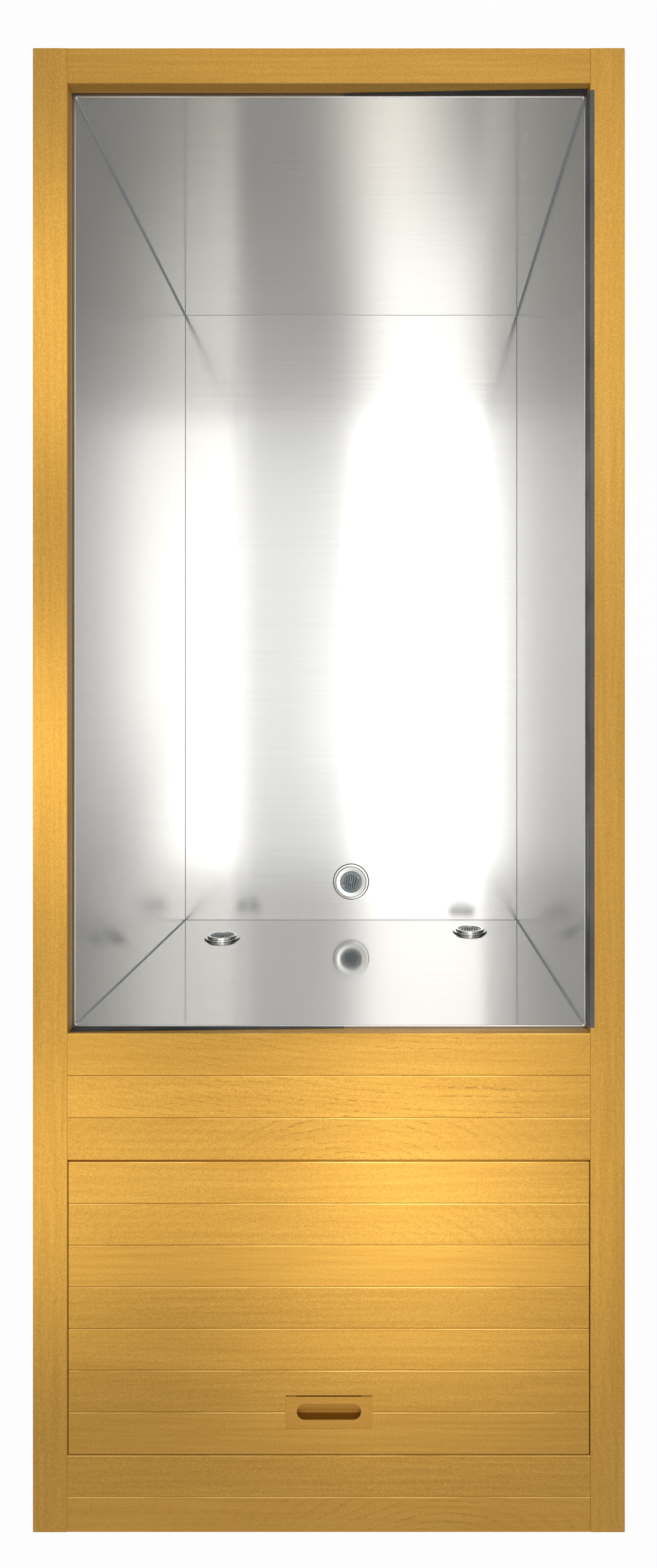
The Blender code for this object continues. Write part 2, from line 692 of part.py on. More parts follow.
def build_deck(wood):
    """The four deck rails, the fixed boards and the joist below them."""
    for name, side in (("left", -1), ("right", 1)):
        section = rail_section(side * HALF_WIDTH, side * OPENING_X)
        rail = prism(f"deck_rail_{name}", section, 1, -HALF_LENGTH, HALF_LENGTH, wood)
        mouth = Vector((side * OPENING_X, PIVOT.y, PIVOT.z))
        reach = RIGHT_WARD * side * PIN_LENGTH / 2
        drill(rail, mouth - reach, mouth + reach, PIN_RADIUS + RUNNING, PIPE_SIDES)
    between = OPENING_X - SEAT
    for name, end in (("head", 1), ("foot", -1)):
        section = rail_section(end * HALF_LENGTH, end * OPENING_HEAD)
        prism(f"deck_rail_{name}", section, 0, -between, between, wood)
    for index in range(DECK_PLANKS):
        high = OPENING_FOOT - index * DECK_PITCH
        last = index == DECK_PLANKS - 1
        section = plank_section(high - DECK_PITCH + SEAT, high, not last, index > 0)
        prism(f"deck_plank_{index + 1}", section, 0, -between, between, wood)
    section = plank_section(HATCH_FOOT_LINE - PLANK_PITCH + SEAT, HATCH_FOOT_LINE, False, False)
    prism(f"deck_plank_{DECK_PLANKS + 1}", section, 0, -between, between, wood)

    joist_foot = HATCH_HEAD_LINE + JOIST_SETBACK
    joist_top = DECK_UNDER - SEAT
    low = (-INNER_X + SEAT, joist_foot, joist_top - JOIST_HEIGHT)
    block("deck_joist", low, (INNER_X - SEAT, joist_foot + JOIST_WIDTH, joist_top), wood)


def build_hatch(wood, pull_wood, metal, hardware):
    """The hatch boards on two cleats, the finger pull, the pivot pins and the ledger below the hatch."""
    moving = []
    for index in range(HATCH_PLANKS):
        high = HATCH_HEAD - index * PLANK_PITCH
        last = index == HATCH_PLANKS - 1
        section = plank_section(high - PLANK_PITCH + SEAT, high, not last, index > 0)
        moving.append(prism(f"hatch_plank_{index + 1}", section, 0, -HATCH_X, HATCH_X, wood))

    for side in (-1, 1):
        mouth = Vector((side * HATCH_X, PIVOT.y, PIVOT.z))
        reach = RIGHT_WARD * side * PIN_LENGTH / 2
        drill(moving[0], mouth - reach, mouth + reach, PIN_RADIUS + RUNNING, PIPE_SIDES)

    for name, side in (("left", -1), ("right", 1)):
        top = DECK_UNDER - SEAT
        low = (side * CLEAT_X - CLEAT_WIDTH / 2, HATCH_FOOT + CLEAT_END, top - CLEAT_THICK)
        high = (side * CLEAT_X + CLEAT_WIDTH / 2, PIVOT.y + CLEAT_THICK / 2, top)
        moving.append(block(f"hatch_cleat_{name}", low, high, wood))

    pull_y = HATCH_FOOT + PLANK_PITCH
    for plank in moving[HATCH_PLANKS - 2 : HATCH_PLANKS]:
        low = (-PULL_LENGTH / 2, pull_y - PULL_WIDTH / 2, DECK_UNDER - DECK_THICK)
        high = (PULL_LENGTH / 2, pull_y + PULL_WIDTH / 2, DECK_TOP + DECK_THICK)
        cut(plank, block("pull_way", low, high))
    moving.append(finger_pull(pull_y, pull_wood))
    hinge_empty("hatch_hinge", PIVOT, *moving)

    for name, side in (("left", -1), ("right", 1)):
        middle = Vector((side * (OPENING_X + HATCH_X) / 2, PIVOT.y, PIVOT.z))
        reach = RIGHT_WARD * (PIN_LENGTH - HATCH_SIDE_GAP) / 2
        bar(f"hatch_pivot_{name}", middle - reach, middle + reach, PIN_RADIUS, hardware, PIPE_SIDES)

    out_x = OPENING_X + LEDGER_LAP
    in_x = OPENING_X - LEDGER_LAP
    out_y = HATCH_FOOT_LINE - LEDGER_LAP
    in_y = HATCH_FOOT_LINE + LEDGER_LAP
    back = PIVOT.y - LEDGER_BACK
    outline = [(-out_x, out_y), (out_x, out_y), (out_x, back), (in_x, back)]
    outline += [(in_x, in_y), (-in_x, in_y), (-in_x, back), (-out_x, back)]
    top = DECK_UNDER - SEAT
    prism("hatch_ledger", outline, 2, top - LEDGER_THICK, top, metal)


def finger_pull(middle_y, material):
    """The inlaid block with its finger slot. A lip below the boards holds it, and the slot is undercut."""
    half_x = PULL_LENGTH / 2 - SEAT
    half_y = PULL_WIDTH / 2 - SEAT
    lip_top = DECK_UNDER - SEAT
    lip_bottom = lip_top - PULL_LIP_THICK
    top = DECK_TOP - PULL_SINK
    low = (-half_x, middle_y - half_y, lip_bottom)
    pull = block("hatch_pull", low, (half_x, middle_y + half_y, top), material)
    lip_low = (-half_x - PULL_LIP, middle_y - half_y - PULL_LIP, lip_bottom)
    lip_high = (half_x + PULL_LIP, middle_y + half_y + PULL_LIP, lip_top)
    join(pull, block("pull_lip", lip_low, lip_high))
    slot_round = SLOT_WIDTH / 2 - SEAT
    levels = ((0.0, top - SLOT_DEPTH, top + SLOT_DEPTH), (SLOT_UNDERCUT, top - SLOT_DEPTH, top - SLOT_LIP))
    for shift, bottom, ceiling in levels:
        low_y = middle_y - SLOT_WIDTH / 2 - shift
        high_y = middle_y + SLOT_WIDTH / 2 - shift
        outline = rounded(-SLOT_LENGTH / 2, SLOT_LENGTH / 2, low_y, high_y, slot_round)
        cut(pull, prism("finger_slot", outline, 2, bottom, ceiling))
    return pull


def tub_ring(margin, height):
    """A level ring round the tub, this far outside its inner faces."""
    reach = TUB_WIDTH / 2 + margin
    outline = rounded(-reach, reach, TUB_FOOT - margin, TUB_HEAD + margin, TUB_CORNER + margin)
    return at_height(outline, height)


def build_tub(steel, rubber, foam):
    """The folded steel tub with its flat rim, the gasket on the rim and the foam jacket round the tub."""
    bottom = TUB_FLOOR - SHEET
    rim_under = RIM_TOP - SHEET
    rings = [tub_ring(SHEET, bottom), tub_ring(SHEET, rim_under), tub_ring(RIM_WIDTH, rim_under)]
    rings += [tub_ring(RIM_WIDTH, RIM_TOP), tub_ring(0.0, RIM_TOP), tub_ring(0.0, TUB_FLOOR)]
    shell = lofted("tub_shell", rings, steel)

    low = RIM_TOP + SEAT
    high = low + GASKET_THICK
    wide = RIM_WIDTH - GASKET_SETBACK
    rings = [tub_ring(wide, low), tub_ring(wide, high), tub_ring(RIM_SHOWN, high), tub_ring(RIM_SHOWN, low)]
    lofted("tub_gasket", rings, rubber, closed=True)

    foam_x = INNER_X - SEAT
    foam_low = (-foam_x, FOAM_FACE, FLOOR_TOP + SEAT)
    jacket = block("tub_insulation", foam_low, (foam_x, INNER_Y - SEAT, rim_under - SEAT), foam)
    well = [tub_ring(SHEET + SEAT, bottom - SEAT), tub_ring(SHEET + SEAT, RIM_TOP)]
    cut(jacket, lofted("tub_well", well))

    clear = SOCKET_RADIUS + SOCKET_PLAY
    for place in (SUCTION, RETURN):
        inside = place + HEAD_WARD * SOCKET_DEPTH
        outside = place + FOOT_WARD * (WALL_TAIL + SOCKET_DEPTH)
        drill(shell, inside, outside, clear, FINE)
        drill(jacket, inside, outside, clear, FINE)
    drill(shell, DRAIN + UP * SOCKET_DEPTH, DRAIN - UP * SOCKET_DEPTH, clear, FINE)
    way_low = (DRAIN.x - clear, FOAM_FACE - FOAM_FOOT, FLOOR_TOP - FLOOR_THICK)
    cut(jacket, block("drain_way", way_low, (DRAIN.x + clear, DRAIN.y + clear, TUB_FLOOR)))


def flange_profile(radius, tail):
    """Section of a tub fitting: a low domed flange on the tub's face, with a pipe tail behind it."""
    recess = GRATE_RADIUS + RUNNING
    floor = FLANGE_HEIGHT - GRATE_SINK - GRATE_THICK - SEAT
    return [
        (SOCKET_BORE, -tail),
        (SOCKET_RADIUS, -tail),
        (SOCKET_RADIUS, SEAT),
        (radius, SEAT),
        (radius, FLANGE_EDGE),
        (radius - FLANGE_EDGE / 2, FLANGE_EDGE + FLANGE_EDGE / 2),
        (radius - 2 * FLANGE_EDGE, FLANGE_HEIGHT),
        (recess + FLANGE_EDGE / 2, FLANGE_HEIGHT),
        (recess, FLANGE_HEIGHT - GRATE_SINK),
        (recess, floor),
        (SOCKET_BORE, floor),
    ]


def grate(name, material):
    """A round grate with a row of S-shaped slots."""
    floor = FLANGE_HEIGHT - GRATE_SINK - GRATE_THICK
    top = FLANGE_HEIGHT - GRATE_SINK
    profile = [(0.0, floor), (GRATE_RADIUS, floor), (GRATE_RADIUS, top), (0.0, top)]
    disc = turned(name, profile, material, FINE)
    pitch = 2 * (GRATE_RADIUS - GRATE_RIM) / (GRATE_SLOTS + 1)
    for index in range(GRATE_SLOTS):
        offset = (index - (GRATE_SLOTS - 1) / 2) * pitch
        half = math.sqrt((GRATE_RADIUS - GRATE_RIM) ** 2 - offset**2) - GRATE_WAVE
        middle = []
        for step in range(SLOT_STEPS + 1):
            run = 2 * step / SLOT_STEPS - 1
            middle.append((offset + GRATE_WAVE * math.sin(math.pi * run), half * run))
        right = [(x + GRATE_SLOT_WIDTH / 2, y) for x, y in middle]
        left = [(x - GRATE_SLOT_WIDTH / 2, y) for x, y in reversed(middle)]
        slot = prism(f"{name}_slot", right + left, 2, floor - GRATE_THICK, top + GRATE_THICK)
        slot.parent = disc
        cut(disc, slot)
    return disc


def build_fittings(chrome, plastic):
    """The suction and return fittings in the tub's foot wall, and the drain in its floor."""
    fittings = (
        ("suction", SUCTION, HEAD_WARD, WALL_FLANGE_RADIUS, WALL_TAIL),
        ("return", RETURN, HEAD_WARD, WALL_FLANGE_RADIUS, WALL_TAIL),
        ("drain", DRAIN, UP, DRAIN_FLANGE_RADIUS, SHEET + DRAIN_TAIL),
    )
    for name, place, axis, radius, tail in fittings:
        aim(turned(f"{name}_flange", flange_profile(radius, tail), chrome, FINE), place, axis)
        aim(grate(f"{name}_grate", plastic), place, axis)


def build_pump(plastic, motor_paint, rotor_plastic):
    """The circulation pump: a wet head with an inlet and an outlet, an impeller and a motor on a foot."""
    back = -PUMP_BACK
    front = -PUMP_STUB
    cavity = PUMP_RADIUS - PUMP_WALL
    profile = [(SOCKET_BORE, 0.0), (SOCKET_RADIUS, 0.0), (SOCKET_RADIUS, front), (cavity, front)]
    profile += [(PUMP_RADIUS, front - PUMP_WALL), (PUMP_RADIUS, back), (cavity, back)]
    profile += [(cavity, front - PUMP_WALL), (SOCKET_BORE, front - PUMP_WALL)]
    head = aim(turned("pump_head", profile, plastic), PUMP_INLET, HEAD_WARD)
    stub_start = Vector((PUMP_INLET.x, PUMP_OUTLET_Y, PUMP_INLET.z + PUMP_RADIUS - PUMP_WALL / 2))
    stub_length = PUMP_OUTLET_TOP - stub_start.z
    socket_stub(head, stub_start, UP, stub_length, stub_length + 2 * PUMP_WALL)

    plate = back - SEAT
    body = plate - PUMP_PLATE
    cover = body - MOTOR_LENGTH
    end = cover - MOTOR_COVER
    cover_radius = MOTOR_RADIUS + MOTOR_COVER_STEP
    bore = SHAFT_RADIUS + RUNNING
    shaft_end = plate - SHAFT_IN_MOTOR
    profile = [(0.0, shaft_end), (bore, shaft_end), (bore, plate), (PUMP_RADIUS, plate)]
    profile += [(PUMP_RADIUS, body), (MOTOR_RADIUS, body), (MOTOR_RADIUS, cover), (cover_radius, cover)]
    profile += [(cover_radius, end + MOTOR_COVER_STEP), (MOTOR_RADIUS, end), (0.0, end)]
    motor = aim(turned("pump_motor", profile, motor_paint), PUMP_INLET, HEAD_WARD)
    middle = PUMP_INLET.y + body - MOTOR_LENGTH / 2
    half_x = MOTOR_FOOT_WIDTH / 2
    half_y = MOTOR_FOOT_LENGTH / 2
    foot_low = (PUMP_INLET.x - half_x, middle - half_y, FLOOR_TOP + SEAT)
    foot_high = (PUMP_INLET.x + half_x, middle + half_y, PUMP_INLET.z - MOTOR_RADIUS / 2)
    join(motor, block("motor_foot", foot_low, foot_high))

    disc_back = back + IMPELLER_DISC
    disc_front = disc_back + IMPELLER_DISC
    vane_front = disc_front + VANE_HEIGHT
    tail = shaft_end + IMPELLER_DISC
    profile = [(0.0, tail), (SHAFT_RADIUS, tail), (SHAFT_RADIUS, disc_back), (IMPELLER_RADIUS, disc_back)]
    profile += [(IMPELLER_RADIUS, disc_front), (IMPELLER_HUB, disc_front), (IMPELLER_HUB, vane_front)]
    profile += [(0.0, vane_front)]
    impeller = aim(turned("pump_impeller", profile, rotor_plastic), PUMP_INLET, HEAD_WARD)
    for index in range(IMPELLER_VANES):
        low = (IMPELLER_HUB - VANE_THICK, -VANE_THICK / 2, disc_back + IMPELLER_DISC / 2)
        high = (IMPELLER_RADIUS - VANE_THICK, VANE_THICK / 2, vane_front - VANE_THICK)
        vane = block("impeller_vane", low, high)
        vane.rotation_euler.z = 2 * math.pi * index / IMPELLER_VANES
        vane.parent = impeller
        join(impeller, vane)


def build_filter(plastic, cap_plastic, paper):
    """The filter canister with its two ports, the pleated cartridge in it and the quarter-turn cap."""
    inside = FILTER_RADIUS - FILTER_WALL
    collar = FILTER_RADIUS + FILTER_COLLAR
    collar_low = FILTER_HEIGHT - FILTER_COLLAR_HEIGHT
    profile = [(0.0, 0.0), (FILTER_RADIUS - FILTER_COLLAR, 0.0), (FILTER_RADIUS, FILTER_COLLAR)]
    profile += [(FILTER_RADIUS, collar_low - FILTER_COLLAR), (collar, collar_low), (collar, FILTER_HEIGHT)]
    profile += [(inside, FILTER_HEIGHT), (inside, FILTER_FLOOR), (0.0, FILTER_FLOOR)]
    bowl = aim(turned("filter_bowl", profile, plastic), FILTER, UP)
    for way in (RIGHT_WARD, -RIGHT_WARD):
        start = Vector((FILTER.x, FILTER.y, PORT_LEVEL)) + way * (FILTER_RADIUS - FILTER_WALL / 2)
        length = PORT_STUB + FILTER_WALL / 2
        socket_stub(bowl, start, way, length, length + 2 * FILTER_WALL)

    pleats = []
    for index in range(2 * CARTRIDGE_PLEATS):
        angle = math.pi * index / CARTRIDGE_PLEATS
        radius = CARTRIDGE_RADIUS - PLEAT_DEPTH * (index % 2)
        pleats.append((radius * math.cos(angle), radius * math.sin(angle)))
    floor = FILTER_FLOOR + SEAT
    cartridge = prism("filter_cartridge", pleats, 2, floor, floor + CARTRIDGE_HEIGHT, paper)
    cartridge.location = FILTER
    core_low = FILTER + UP * (floor - SEAT - FILTER_FLOOR)
    drill(cartridge, core_low, core_low + UP * (CARTRIDGE_HEIGHT + 2 * FILTER_FLOOR), CARTRIDGE_BORE)

    seat = FILTER_HEIGHT + SEAT
    plug = inside * math.cos(math.pi / PLAIN) - RUNNING
    knob = CARTRIDGE_BORE
    profile = [(0.0, seat - CAP_PLUG), (plug, seat - CAP_PLUG), (plug, seat), (collar, seat)]
    profile += [(collar, seat + CAP_THICK - CAP_LOBE_DEPTH), (collar - CAP_LOBE_DEPTH, seat + CAP_THICK)]
    profile += [(knob, seat + CAP_THICK), (knob, seat + CAP_THICK + CAP_LOBE_DEPTH)]
    profile += [(0.0, seat + CAP_THICK + CAP_LOBE_DEPTH)]
    cap = aim(turned("filter_cap", profile, cap_plastic), FILTER, UP)
    for index in range(CAP_LOBES):
        angle = 2 * math.pi * index / CAP_LOBES
        low = (collar - 2 * CAP_LOBE_DEPTH, -CAP_LOBE_DEPTH, seat + CAP_LOBE_DEPTH / 2)
        high = (collar + CAP_LOBE_DEPTH, CAP_LOBE_DEPTH, seat + CAP_THICK - CAP_LOBE_DEPTH - SEAT)
        lobe = block("cap_lobe", low, high)
        lobe.rotation_euler.z = angle
        lobe.parent = cap
        join(cap, lobe)


def coil_section():
    """Plan of the finned condenser: fins on both faces of a plain core."""
    pitch = COIL_WIDTH / (2 * COIL_FINS + 1)
    foot_side = []
    head_side = []
    for index in range(2 * COIL_FINS + 1):
        depth = COIL_FIN_DEPTH * (index % 2)
        for x in (COIL_LEFT + index * pitch, COIL_LEFT + (index + 1) * pitch):
            foot_side.append((x, COIL_FOOT + depth))
            head_side.append((x, COIL_FOOT + COIL_DEPTH - depth))
    return foot_side + head_side[::-1]


def build_chiller(sheet_metal, aluminium, dark_paint, plastic):
    """The chiller: a tray, a finned condenser with its fan, a compressor and a heat exchanger."""
    tray_low = Vector((COIL_LEFT - TRAY_MARGIN, SHROUD_FOOT - TRAY_MARGIN, FLOOR_TOP + SEAT))
    tray_head = EXCHANGER.y + EXCHANGER_RADIUS + TRAY_MARGIN
    tray_high = Vector((COIL_RIGHT + TRAY_MARGIN, tray_head, TRAY_TOP + TRAY_RIM))
    tray = block("chiller_tray", tray_low, tray_high, sheet_metal)
    wall = Vector((TRAY_THICK, TRAY_THICK, TRAY_THICK))
    inside_high = tray_high - wall + UP * 2 * TRAY_RIM
    cut(tray, block("tray_inside", tray_low + wall, inside_high))

    prism("condenser", coil_section(), 2, COIL_LOW, COIL_HIGH, aluminium)

    shroud_low = Vector((COIL_LEFT, SHROUD_FOOT, COIL_LOW))
    shroud_high = Vector((COIL_RIGHT, SHROUD_HEAD, COIL_HIGH))
    shroud = block("fan_shroud", shroud_low, shroud_high, dark_paint)
    edge = Vector((SHROUD_SHEET, SHROUD_SHEET, SHROUD_SHEET))
    cut(shroud, block("shroud_inside", shroud_low + edge, shroud_high - edge + HEAD_WARD * SHROUD_DEPTH))
    mouth = FAN_RADIUS + FAN_TIP_GAP
    centre = Vector((FAN.x, SHROUD_FOOT, FAN.z))
    drill(shroud, centre - HEAD_WARD * SHROUD_SHEET, centre + HEAD_WARD * 2 * SHROUD_SHEET, mouth, FINE)
    half_arm = SPIDER_WIDTH / 2
    for reach_x, reach_z in ((mouth + half_arm, half_arm), (half_arm, mouth + half_arm)):
        reach = Vector((reach_x, 0.0, reach_z))
        arm_low = centre - reach + HEAD_WARD * SHROUD_SHEET / 2
        join(shroud, block("fan_spider", arm_low, centre + reach + HEAD_WARD * SPIDER_THICK))
    motor_start = centre + HEAD_WARD * SPIDER_THICK / 2
    join(shroud, bar("fan_motor", motor_start, FAN, FAN_MOTOR_RADIUS))
    shaft_end = FAN + HEAD_WARD * (SEAT + FAN_HUB_LENGTH)
    join(shroud, bar("fan_shaft", motor_start, shaft_end, FAN_SHAFT_RADIUS, sides=PIPE_SIDES))

    build_fan(plastic)
    build_compressor(dark_paint)
    build_exchanger(plastic)


def build_fan(plastic):
    """The condenser fan: a hub on the motor's shaft with pitched blades."""
    bore = FAN_SHAFT_RADIUS + RUNNING
    top = FAN_HUB_LENGTH - SEAT
    profile = [(bore, SEAT), (FAN_HUB, SEAT), (FAN_HUB, top), (bore, top)]
    rotor = aim(turned("fan_rotor", profile, plastic), FAN, HEAD_WARD)
    for index in range(FAN_BLADES):
        low = (FAN_HUB - FAN_BLADE_THICK, -FAN_CHORD / 2, -FAN_BLADE_THICK / 2)
        blade = block("fan_blade", low, (FAN_RADIUS - FAN_BLADE_THICK, FAN_CHORD / 2, FAN_BLADE_THICK / 2))
        around = Matrix.Rotation(2 * math.pi * index / FAN_BLADES, 4, "Z")
        middle = Matrix.Translation(UP * FAN_HUB_LENGTH / 2)
        blade.matrix_local = middle @ around @ Matrix.Rotation(math.radians(FAN_PITCH), 4, "X")
        blade.parent = rotor
        join(rotor, blade)


def build_compressor(paint):
    """The compressor's pressed steel shell, open below."""
    outer = COMPRESSOR_RADIUS
    inner = outer - COMPRESSOR_WALL
    dome = COMPRESSOR_HEIGHT - outer / 2
    crown = outer / 2
    profile = [(0.0, COMPRESSOR_HEIGHT - COMPRESSOR_WALL), (crown, COMPRESSOR_HEIGHT - 2 * COMPRESSOR_WALL)]
    profile += [(inner, dome), (inner, 0.0), (outer, 0.0), (outer, dome)]
    profile += [(crown, COMPRESSOR_HEIGHT - COMPRESSOR_WALL), (0.0, COMPRESSOR_HEIGHT)]
    aim(turned("compressor", profile, paint), COMPRESSOR, UP)


def build_exchanger(plastic):
    """The heat exchanger: a closed canister with a port from the filter and a port to the tub."""
    neck = EXCHANGER_RADIUS - EXCHANGER_DOME / 2
    high = EXCHANGER_HEIGHT - EXCHANGER_DOME
    profile = [(0.0, 0.0), (EXCHANGER_RADIUS, 0.0), (EXCHANGER_RADIUS, high), (neck, EXCHANGER_HEIGHT)]
    profile += [(0.0, EXCHANGER_HEIGHT)]
    canister = aim(turned("heat_exchanger", profile, plastic), EXCHANGER, UP)
    ports = ((PORT_LEVEL, -RIGHT_WARD), (RETURN.z, HEAD_WARD))
    for level, way in ports:
        start = Vector((EXCHANGER.x, EXCHANGER.y, level)) + way * (EXCHANGER_RADIUS - SOCKET_WALL)
        socket_stub(canister, start, way, PORT_STUB + SOCKET_WALL, SOCKET_DEPTH + PIPE_SLACK)


def build_pipes(pvc):
    """The water runs: tub to pump, pump to filter, filter to exchanger and exchanger to tub."""
    deep = SOCKET_DEPTH - PIPE_SLACK
    start = Vector((SUCTION.x, TAIL_END + deep, SUCTION.z))
    first = Vector((SUCTION.x, FOAM_FACE - PUMP_RUN / 3, SUCTION.z))
    second = Vector((SUCTION.x, FOAM_FACE - 2 * PUMP_RUN / 3, PUMP_INLET.z))
    pipe("suction_pipe", [start, first, second, PUMP_INLET + FOOT_WARD * deep], BEND_RADIUS, pvc)

    rise = Vector((PUMP_INLET.x, PUMP_OUTLET_Y, PUMP_OUTLET_TOP - deep))
    corner = Vector((PUMP_INLET.x, PUMP_OUTLET_Y, PORT_LEVEL))
    filter_in = Vector((FILTER.x - FILTER_RADIUS - PORT_STUB + deep, FILTER.y, PORT_LEVEL))
    pipe("filter_pipe", [rise, corner, filter_in], BEND_RADIUS, pvc)

    filter_out = Vector((FILTER.x + FILTER_RADIUS + PORT_STUB - deep, FILTER.y, PORT_LEVEL))
    exchanger_in = Vector((EXCHANGER.x - EXCHANGER_RADIUS - PORT_STUB + deep, EXCHANGER.y, PORT_LEVEL))
    pipe("chiller_pipe", [filter_out, exchanger_in], BEND_RADIUS, pvc)

    exchanger_out = Vector((RETURN.x, EXCHANGER.y + EXCHANGER_RADIUS + PORT_STUB - deep, RETURN.z))
    pipe("return_pipe", [exchanger_out, Vector((RETURN.x, TAIL_END + deep, RETURN.z))], BEND_RADIUS, pvc)


def build_drain(pvc, brass, lever_paint):
    """The drain run below the tub, the valve behind the foot wall and the lever that turns its disc."""
    shift = FOAM_FACE - DRAIN_FIRST_RUN
    top = Vector((DRAIN.x, DRAIN.y, TUB_FLOOR - SHEET))
    under = Vector((DRAIN.x, DRAIN.y, DRAIN_LEVEL))
    elbow = bent_route([top, under, under + FOOT_WARD * 2 * ELBOW_RADIUS], ELBOW_RADIUS)
    first = Vector((DRAIN.x, shift, DRAIN_LEVEL))
    second = Vector((STEM.x, shift - DRAIN_SHIFT_RUN, DRAIN_LEVEL))
    last = Vector((STEM.x, VALVE_START - SOCKET_DEPTH + PIPE_SLACK, DRAIN_LEVEL))
    run = bent_route([elbow[-1], first, second, last], BEND_RADIUS)
    route = elbow + run[1:]
    drain = swept("drain_pipe", route, PIPE_RADIUS, pvc)
    bore = [route[0] + UP * PIPE_RADIUS, *route[1:-1], route[-1] + FOOT_WARD * PIPE_RADIUS]
    cut(drain, swept("drain_pipe_bore", bore, PIPE_BORE))

    build_valve(brass)
    build_lever(lever_paint)


def build_valve(brass):
    """The drain valve: a socket for the pipe, a disc seat, a stem neck and a threaded outlet."""
    length = VALVE_START - OUTLET_END
    thread_start = length - THREAD_TURNS * THREAD_PITCH
    profile = [(SOCKET_BORE, 0.0), (VALVE_RADIUS, 0.0), (VALVE_RADIUS, VALVE_LENGTH)]
    profile += [(OUTLET_RADIUS, VALVE_LENGTH), (OUTLET_RADIUS, thread_start)]
    for turn in range(THREAD_TURNS):
        root = thread_start + (turn + 0.5) * THREAD_PITCH
        profile.append((OUTLET_RADIUS - THREAD_DEPTH, root))
        profile.append((OUTLET_RADIUS, root + THREAD_PITCH / 2))
    profile += [(VALVE_BORE, length), (VALVE_BORE, SOCKET_DEPTH), (SOCKET_BORE, SOCKET_DEPTH)]
    start = Vector((STEM.x, VALVE_START, DRAIN_LEVEL))
    valve = aim(turned("drain_valve", profile, brass, FINE), start, FOOT_WARD)
    neck_foot = STEM + UP * (VALVE_BORE + VALVE_WALL)
    neck_top = STEM + UP * VALVE_NECK_HEIGHT
    join(valve, bar("valve_neck", neck_foot, neck_top, VALVE_NECK_RADIUS))
    drill(valve, STEM, neck_top + UP * VALVE_NECK_RADIUS, STEM_RADIUS + RUNNING, PIPE_SIDES)


def build_lever(paint):
    """The lever, its stem and the disc that closes the valve's bore. At rest the valve is shut."""
    plate_low = VALVE_NECK_HEIGHT + SEAT
    plate_high = plate_low + LEVER_THICK
    half = LEVER_WIDTH / 2
    outline = rounded(-half, LEVER_LENGTH, -half, half, half - SEAT)
    lever = prism("drain_lever", outline, 2, plate_low, plate_high, paint)
    lever.location = STEM
    stem_low = STEM - UP * VALVE_BORE / 2
    stem_high = STEM + UP * (plate_high + LEVER_THICK)
    join(lever, bar("lever_stem", stem_low, stem_high, STEM_RADIUS, sides=PIPE_SIDES))
    disc = HEAD_WARD * VANE_DISC_THICK / 2
    join(lever, bar("lever_disc", STEM - disc, STEM + disc, VALVE_BORE - VANE_DISC_PLAY, sides=FINE))


def build_controls(plastic, button_plastic):
    """The control box on the left wall, with its push button on top."""
    foot = -INNER_Y + CONTROL_FROM_FOOT
    left = -INNER_X + SEAT
    bottom = FLOOR_TOP + CONTROL_LEVEL
    top = bottom + CONTROL_HEIGHT
    high = (left + CONTROL_DEPTH, foot + CONTROL_LENGTH, top)
    box = block("control_box", (left, foot, bottom), high, plastic)
    place = Vector((left + CONTROL_DEPTH / 2, foot + BUTTON_FROM_END, top))
    well = BUTTON_IN_BOX + BUTTON_TRAVEL + SEAT
    drill(box, place - UP * well, place + UP * well, BUTTON_RADIUS + RUNNING)
    profile = [(0.0, -BUTTON_IN_BOX), (BUTTON_RADIUS, -BUTTON_IN_BOX), (BUTTON_RADIUS, BUTTON_PROUD / 2)]
    profile += [(BUTTON_RADIUS - BUTTON_PROUD / 2, BUTTON_PROUD), (0.0, BUTTON_PROUD)]
    aim(turned("control_button", profile, button_plastic), place, UP)


def build_vent(paint):
    """The vent grille in the foot wall: a lipped frame with tilted slats."""
    low, high = vent_opening()
    face = -OUTER_Y - SEAT
    seat = Vector((SEAT, 0.0, SEAT))
    body_low = Vector((low.x, face - VENT_PROUD / 2, low.z)) + seat
    body_high = Vector((high.x, face + VENT_DEPTH, high.z)) - seat
    grille = block("vent_grille", body_low, body_high, paint)
    lip_low = Vector((low.x - VENT_LIP, face - VENT_PROUD, low.z - VENT_LIP))
    lip_high = Vector((high.x + VENT_LIP, face, high.z + VENT_LIP))
    join(grille, block("vent_lip", lip_low, lip_high))
    frame = Vector((VENT_FRAME, 0.0, VENT_FRAME))
    deep = HEAD_WARD * VENT_DEPTH
    cut(grille, block("vent_window", body_low + frame - deep, body_high - frame + deep))
    window = body_high.z - body_low.z - 2 * VENT_FRAME
    slat_half = VENT_DEPTH / 2
    for index in range(VENT_SLATS):
        level = body_low.z + VENT_FRAME + window * (index + 0.5) / VENT_SLATS
        reach = Vector((VENT_WIDTH / 2 - VENT_FRAME / 2, slat_half, VENT_SLAT_THICK / 2))
        slat = block("vent_slat", -reach, reach)
        slat.location = (FAN.x, face + VENT_DEPTH / 2, level)
        slat.rotation_euler.x = math.radians(VENT_SLAT_TILT)
        join(grille, slat)


